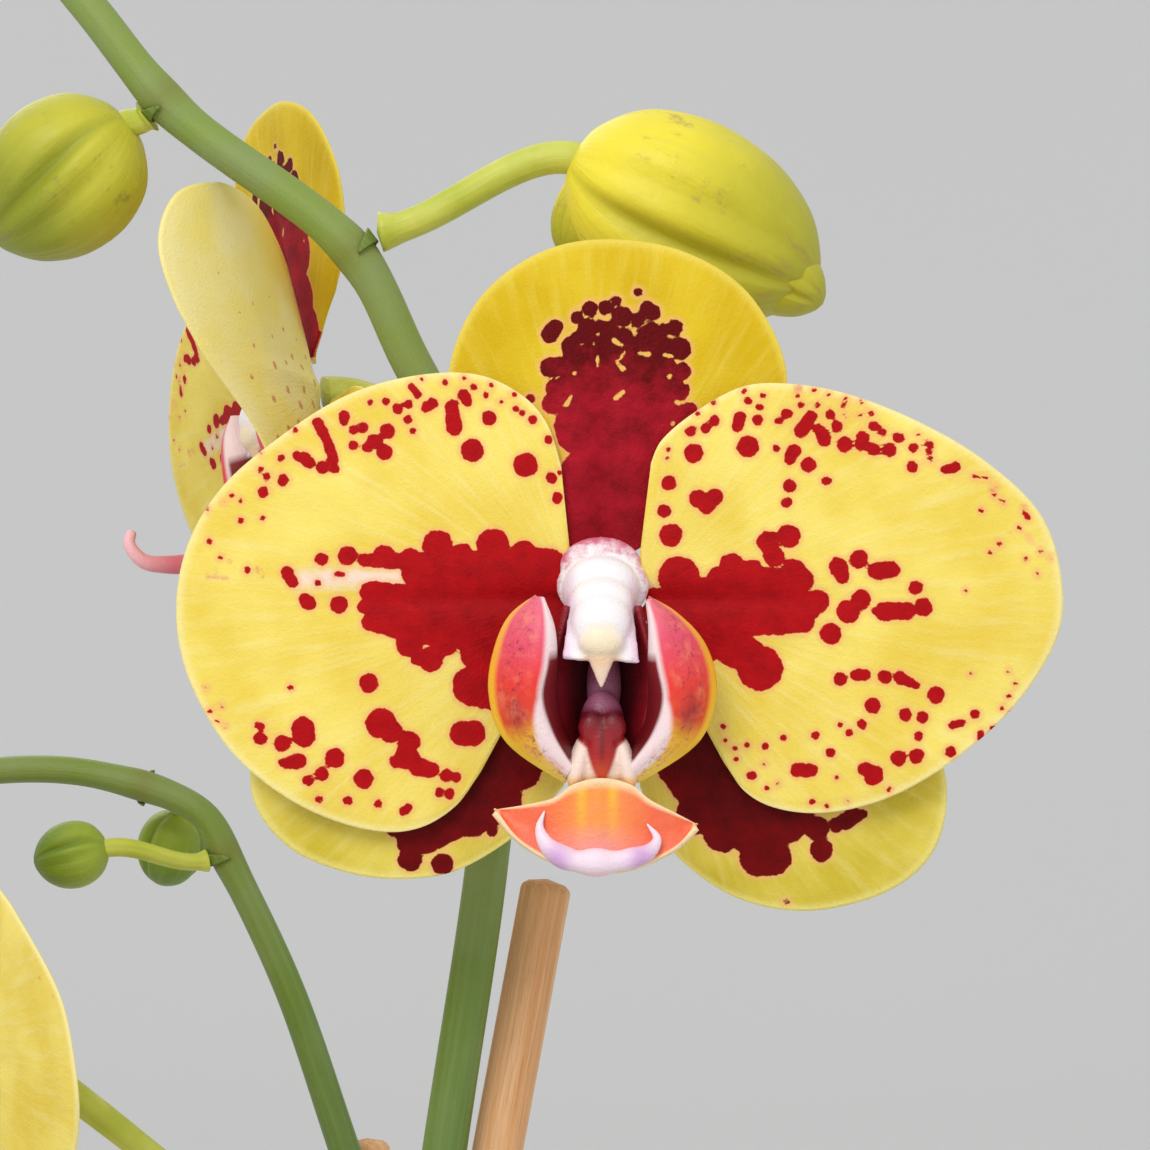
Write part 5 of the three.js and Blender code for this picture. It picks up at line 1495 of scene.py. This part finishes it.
def add_bud(base, aim, length, radius, turn):
    base, aim = np.array(base, float), np.array(aim, float)
    aim /= np.linalg.norm(aim)
    guide = np.array([0, -1.0, 0]) - aim * -aim[1]
    guide /= np.linalg.norm(guide)
    third = np.cross(aim, guide)

    def surface(across, along):
        angle = 2 * math.pi * across + math.pi
        share = 0.5 - 0.5 * np.cos(math.pi * along)
        widths = smooth_route([(s, w, 0) for s, w in zip(BUD_SHARES, BUD_WIDTHS)], 200)
        width = np.interp(share, widths[:, 0], widths[:, 1])
        around = (angle + math.radians(turn) + 0.25 * share) * 1.5
        furrow = np.exp(-((np.abs(np.cos(around)) / 0.2) ** 2))
        fold = np.exp(-((np.abs(np.cos(around + math.pi / 4)) / 0.28) ** 2))
        envelope = np.sin(math.pi * np.clip(share, 0, 1)) ** 0.6
        swell = 1 - 0.19 * furrow * envelope - 0.09 * fold * envelope
        distance = radius * 0.985 * width * swell
        places = base + aim * (length * share)[:, None]
        places = places + guide * (distance * np.cos(angle))[:, None]
        places = places + third * (distance * np.sin(angle))[:, None]
        mark = np.column_stack([angle, share, furrow * envelope])
        return places, {"turn": mark}

    return add_sheet(90, 70, surface, rolled=True)


# bud, spike, height of its joint, way out, base, aim, length, radius, turn, pull, stalk radius
buds = [
    ("bud_right", "main_spike", 464.6, (1, 0, 0.1), (40.7, 2, 475.6), (0.88, 0, -0.47), 30, 10.6,
     28, 8, 1.6, yellow_bud),
    ("bud_left", "main_spike", 481, (-0.8, 0.2, -0.6), (-7.6, 4, 479.6), (-0.76, 0.05, -0.65), 20,
     8.7, 50, 2, 1.4, olive_bud),
    ("bud_tip_one", "main_spike", 509, (0.4, 0.2, 1), (-24, 6, 522), (0.25, 0.2, 0.95), 16, 6.8,
     40, 4, 1.3, olive_bud),
    ("bud_tip_two", "main_spike", 521, (-0.2, -0.4, -1), (-57, 0, 509), (-0.35, -0.3, -0.9), 13,
     5.4, 15, 4, 1.2, green_bud),
    ("bud_second_one", "second_spike", 396, (-1, -0.4, -0.2), (-14.5, 41, 397.6), (-0.98, 0, -0.2),
     9, 4.1, 30, 5, 1, green_bud),
    ("bud_second_two", "second_spike", 404.6, (0, 1, -0.3), (-7, 54, 401), (-0.3, 0.3, -0.9), 10,
     4.3, 10, 3, 1, green_bud),
]
for node, spike_name, level, out, base, aim, length, radius, turn, pull, thick, skin in buds:
    bud = add_bud(base, aim, length, radius, turn)
    finish_piece(bud, node + "_sepals", node, skin)
    way = np.array(aim, float) / np.linalg.norm(aim)
    start, _, _ = spike_seat(spikes[spike_name], level, out, thick)
    route = stalk_route(start, out, np.array(base) + way * length * 0.08, aim, pull, 60)

    def bud_stalk_radius(share, angle):
        return thick * (1 + 0.15 * share + 0.4 * np.exp(-((share / 0.07) ** 2)))

    stalk = add_stem(route, bud_stalk_radius, 28)
    finish_piece(stalk, node + "_stalk", node, pedicel_skin)

# the large bud bulges at its base and at its tip
for name, base, aim, length, radius, turn in (
        ("bud_right_spur", (46, 3, 474.6), (-0.5, 0, -0.86), 12, 4.4, 0),
        ("bud_right_beak", (56.6, 1.4, 466.6), (0.84, 0, -0.54), 13.4, 4.6, 30)):
    lobe = add_bud(base, aim, length, radius, turn)
    finish_piece(lobe, name, "bud_right", yellow_bud)

for node, spike_name, length, radius in (("main_end_bud", "main_spike", 8, 3.4),
                                         ("second_end_bud", "second_spike", 7.5, 3.3)):
    route = spikes[spike_name]["route"]
    aim = route[-1] - route[-2]
    aim /= np.linalg.norm(aim)
    bud = add_bud(route[-1] + aim * seat_gap, aim, length, radius, 20)
    finish_piece(bud, node + "_sepals", node, green_bud)

# ---------- floor, light and camera ----------
# A pale studio sweep under an even pale sky. A large soft lamp stands before and above the
# flowers, a weak fill at their right, and a third lamp behind to pick out the edges.

sweep = Finish("pale_sweep", {"Specular IOR Level": 0.1, "Roughness": 0.9})
tone = sweep.noise(sweep.place(), 0.6, 2)
sweep.send("Base Color", sweep.mix(tone, shade(232, 232, 230), shade(240, 239, 236)))


def sweep_surface(across, along):
    run = along * 12000 - 4000
    bend, corner = 2500, 1500
    angle = np.clip((run - bend) / corner, 0, math.pi / 2)
    past = np.maximum(run - bend - corner * math.pi / 2, 0)
    return np.column_stack([(across - 0.5) * -11000, np.minimum(run, bend) + corner * np.sin(angle),
                            corner * (1 - np.cos(angle)) + past]), {}


floor = add_sheet(4, 120, sweep_surface)
floor.name = "pale_floor"
floor.data.materials.append(sweep.material)

world = bpy.data.worlds.new("studio")
bpy.context.scene.world = world
world.use_nodes = True
world.node_tree.nodes["Background"].inputs["Color"].default_value = shade(232, 234, 236)
world.node_tree.nodes["Background"].inputs["Strength"].default_value = 0.85


def add_lamp(name, place, target, size, power, tint):
    bpy.ops.object.light_add(type="AREA", location=place)
    lamp = bpy.context.object
    lamp.name = name
    lamp.data.size = size
    lamp.data.energy = power
    lamp.data.color = tint
    lamp.rotation_euler = (Vector(target) - Vector(place)).to_track_quat("-Z", "Y").to_euler()


bloom_spot = (0.03, -0.02, 0.43)
add_lamp("key_lamp", (-0.25, -0.75, 1.05), bloom_spot, 0.45, 4.9, (1.0, 0.98, 0.95))
add_lamp("fill_lamp", (0.9, -0.6, 0.55), bloom_spot, 0.8, 0.8, (0.95, 0.97, 1.0))
add_lamp("back_lamp", (-0.4, 0.9, 1.0), bloom_spot, 0.6, 2.5, (1.0, 1.0, 1.0))

# level with the front flower and 0.38 m before it
camera_place = (0.041, -0.404, 0.430)
bpy.ops.object.camera_add(location=camera_place, rotation=(math.pi / 2, 0, 0))
camera = bpy.context.object
camera.data.sensor_width = 36
camera.data.lens = 117.2
camera.data.clip_start = 0.02
bpy.context.scene.camera = camera
bpy.context.scene.view_settings.view_transform = "Standard"
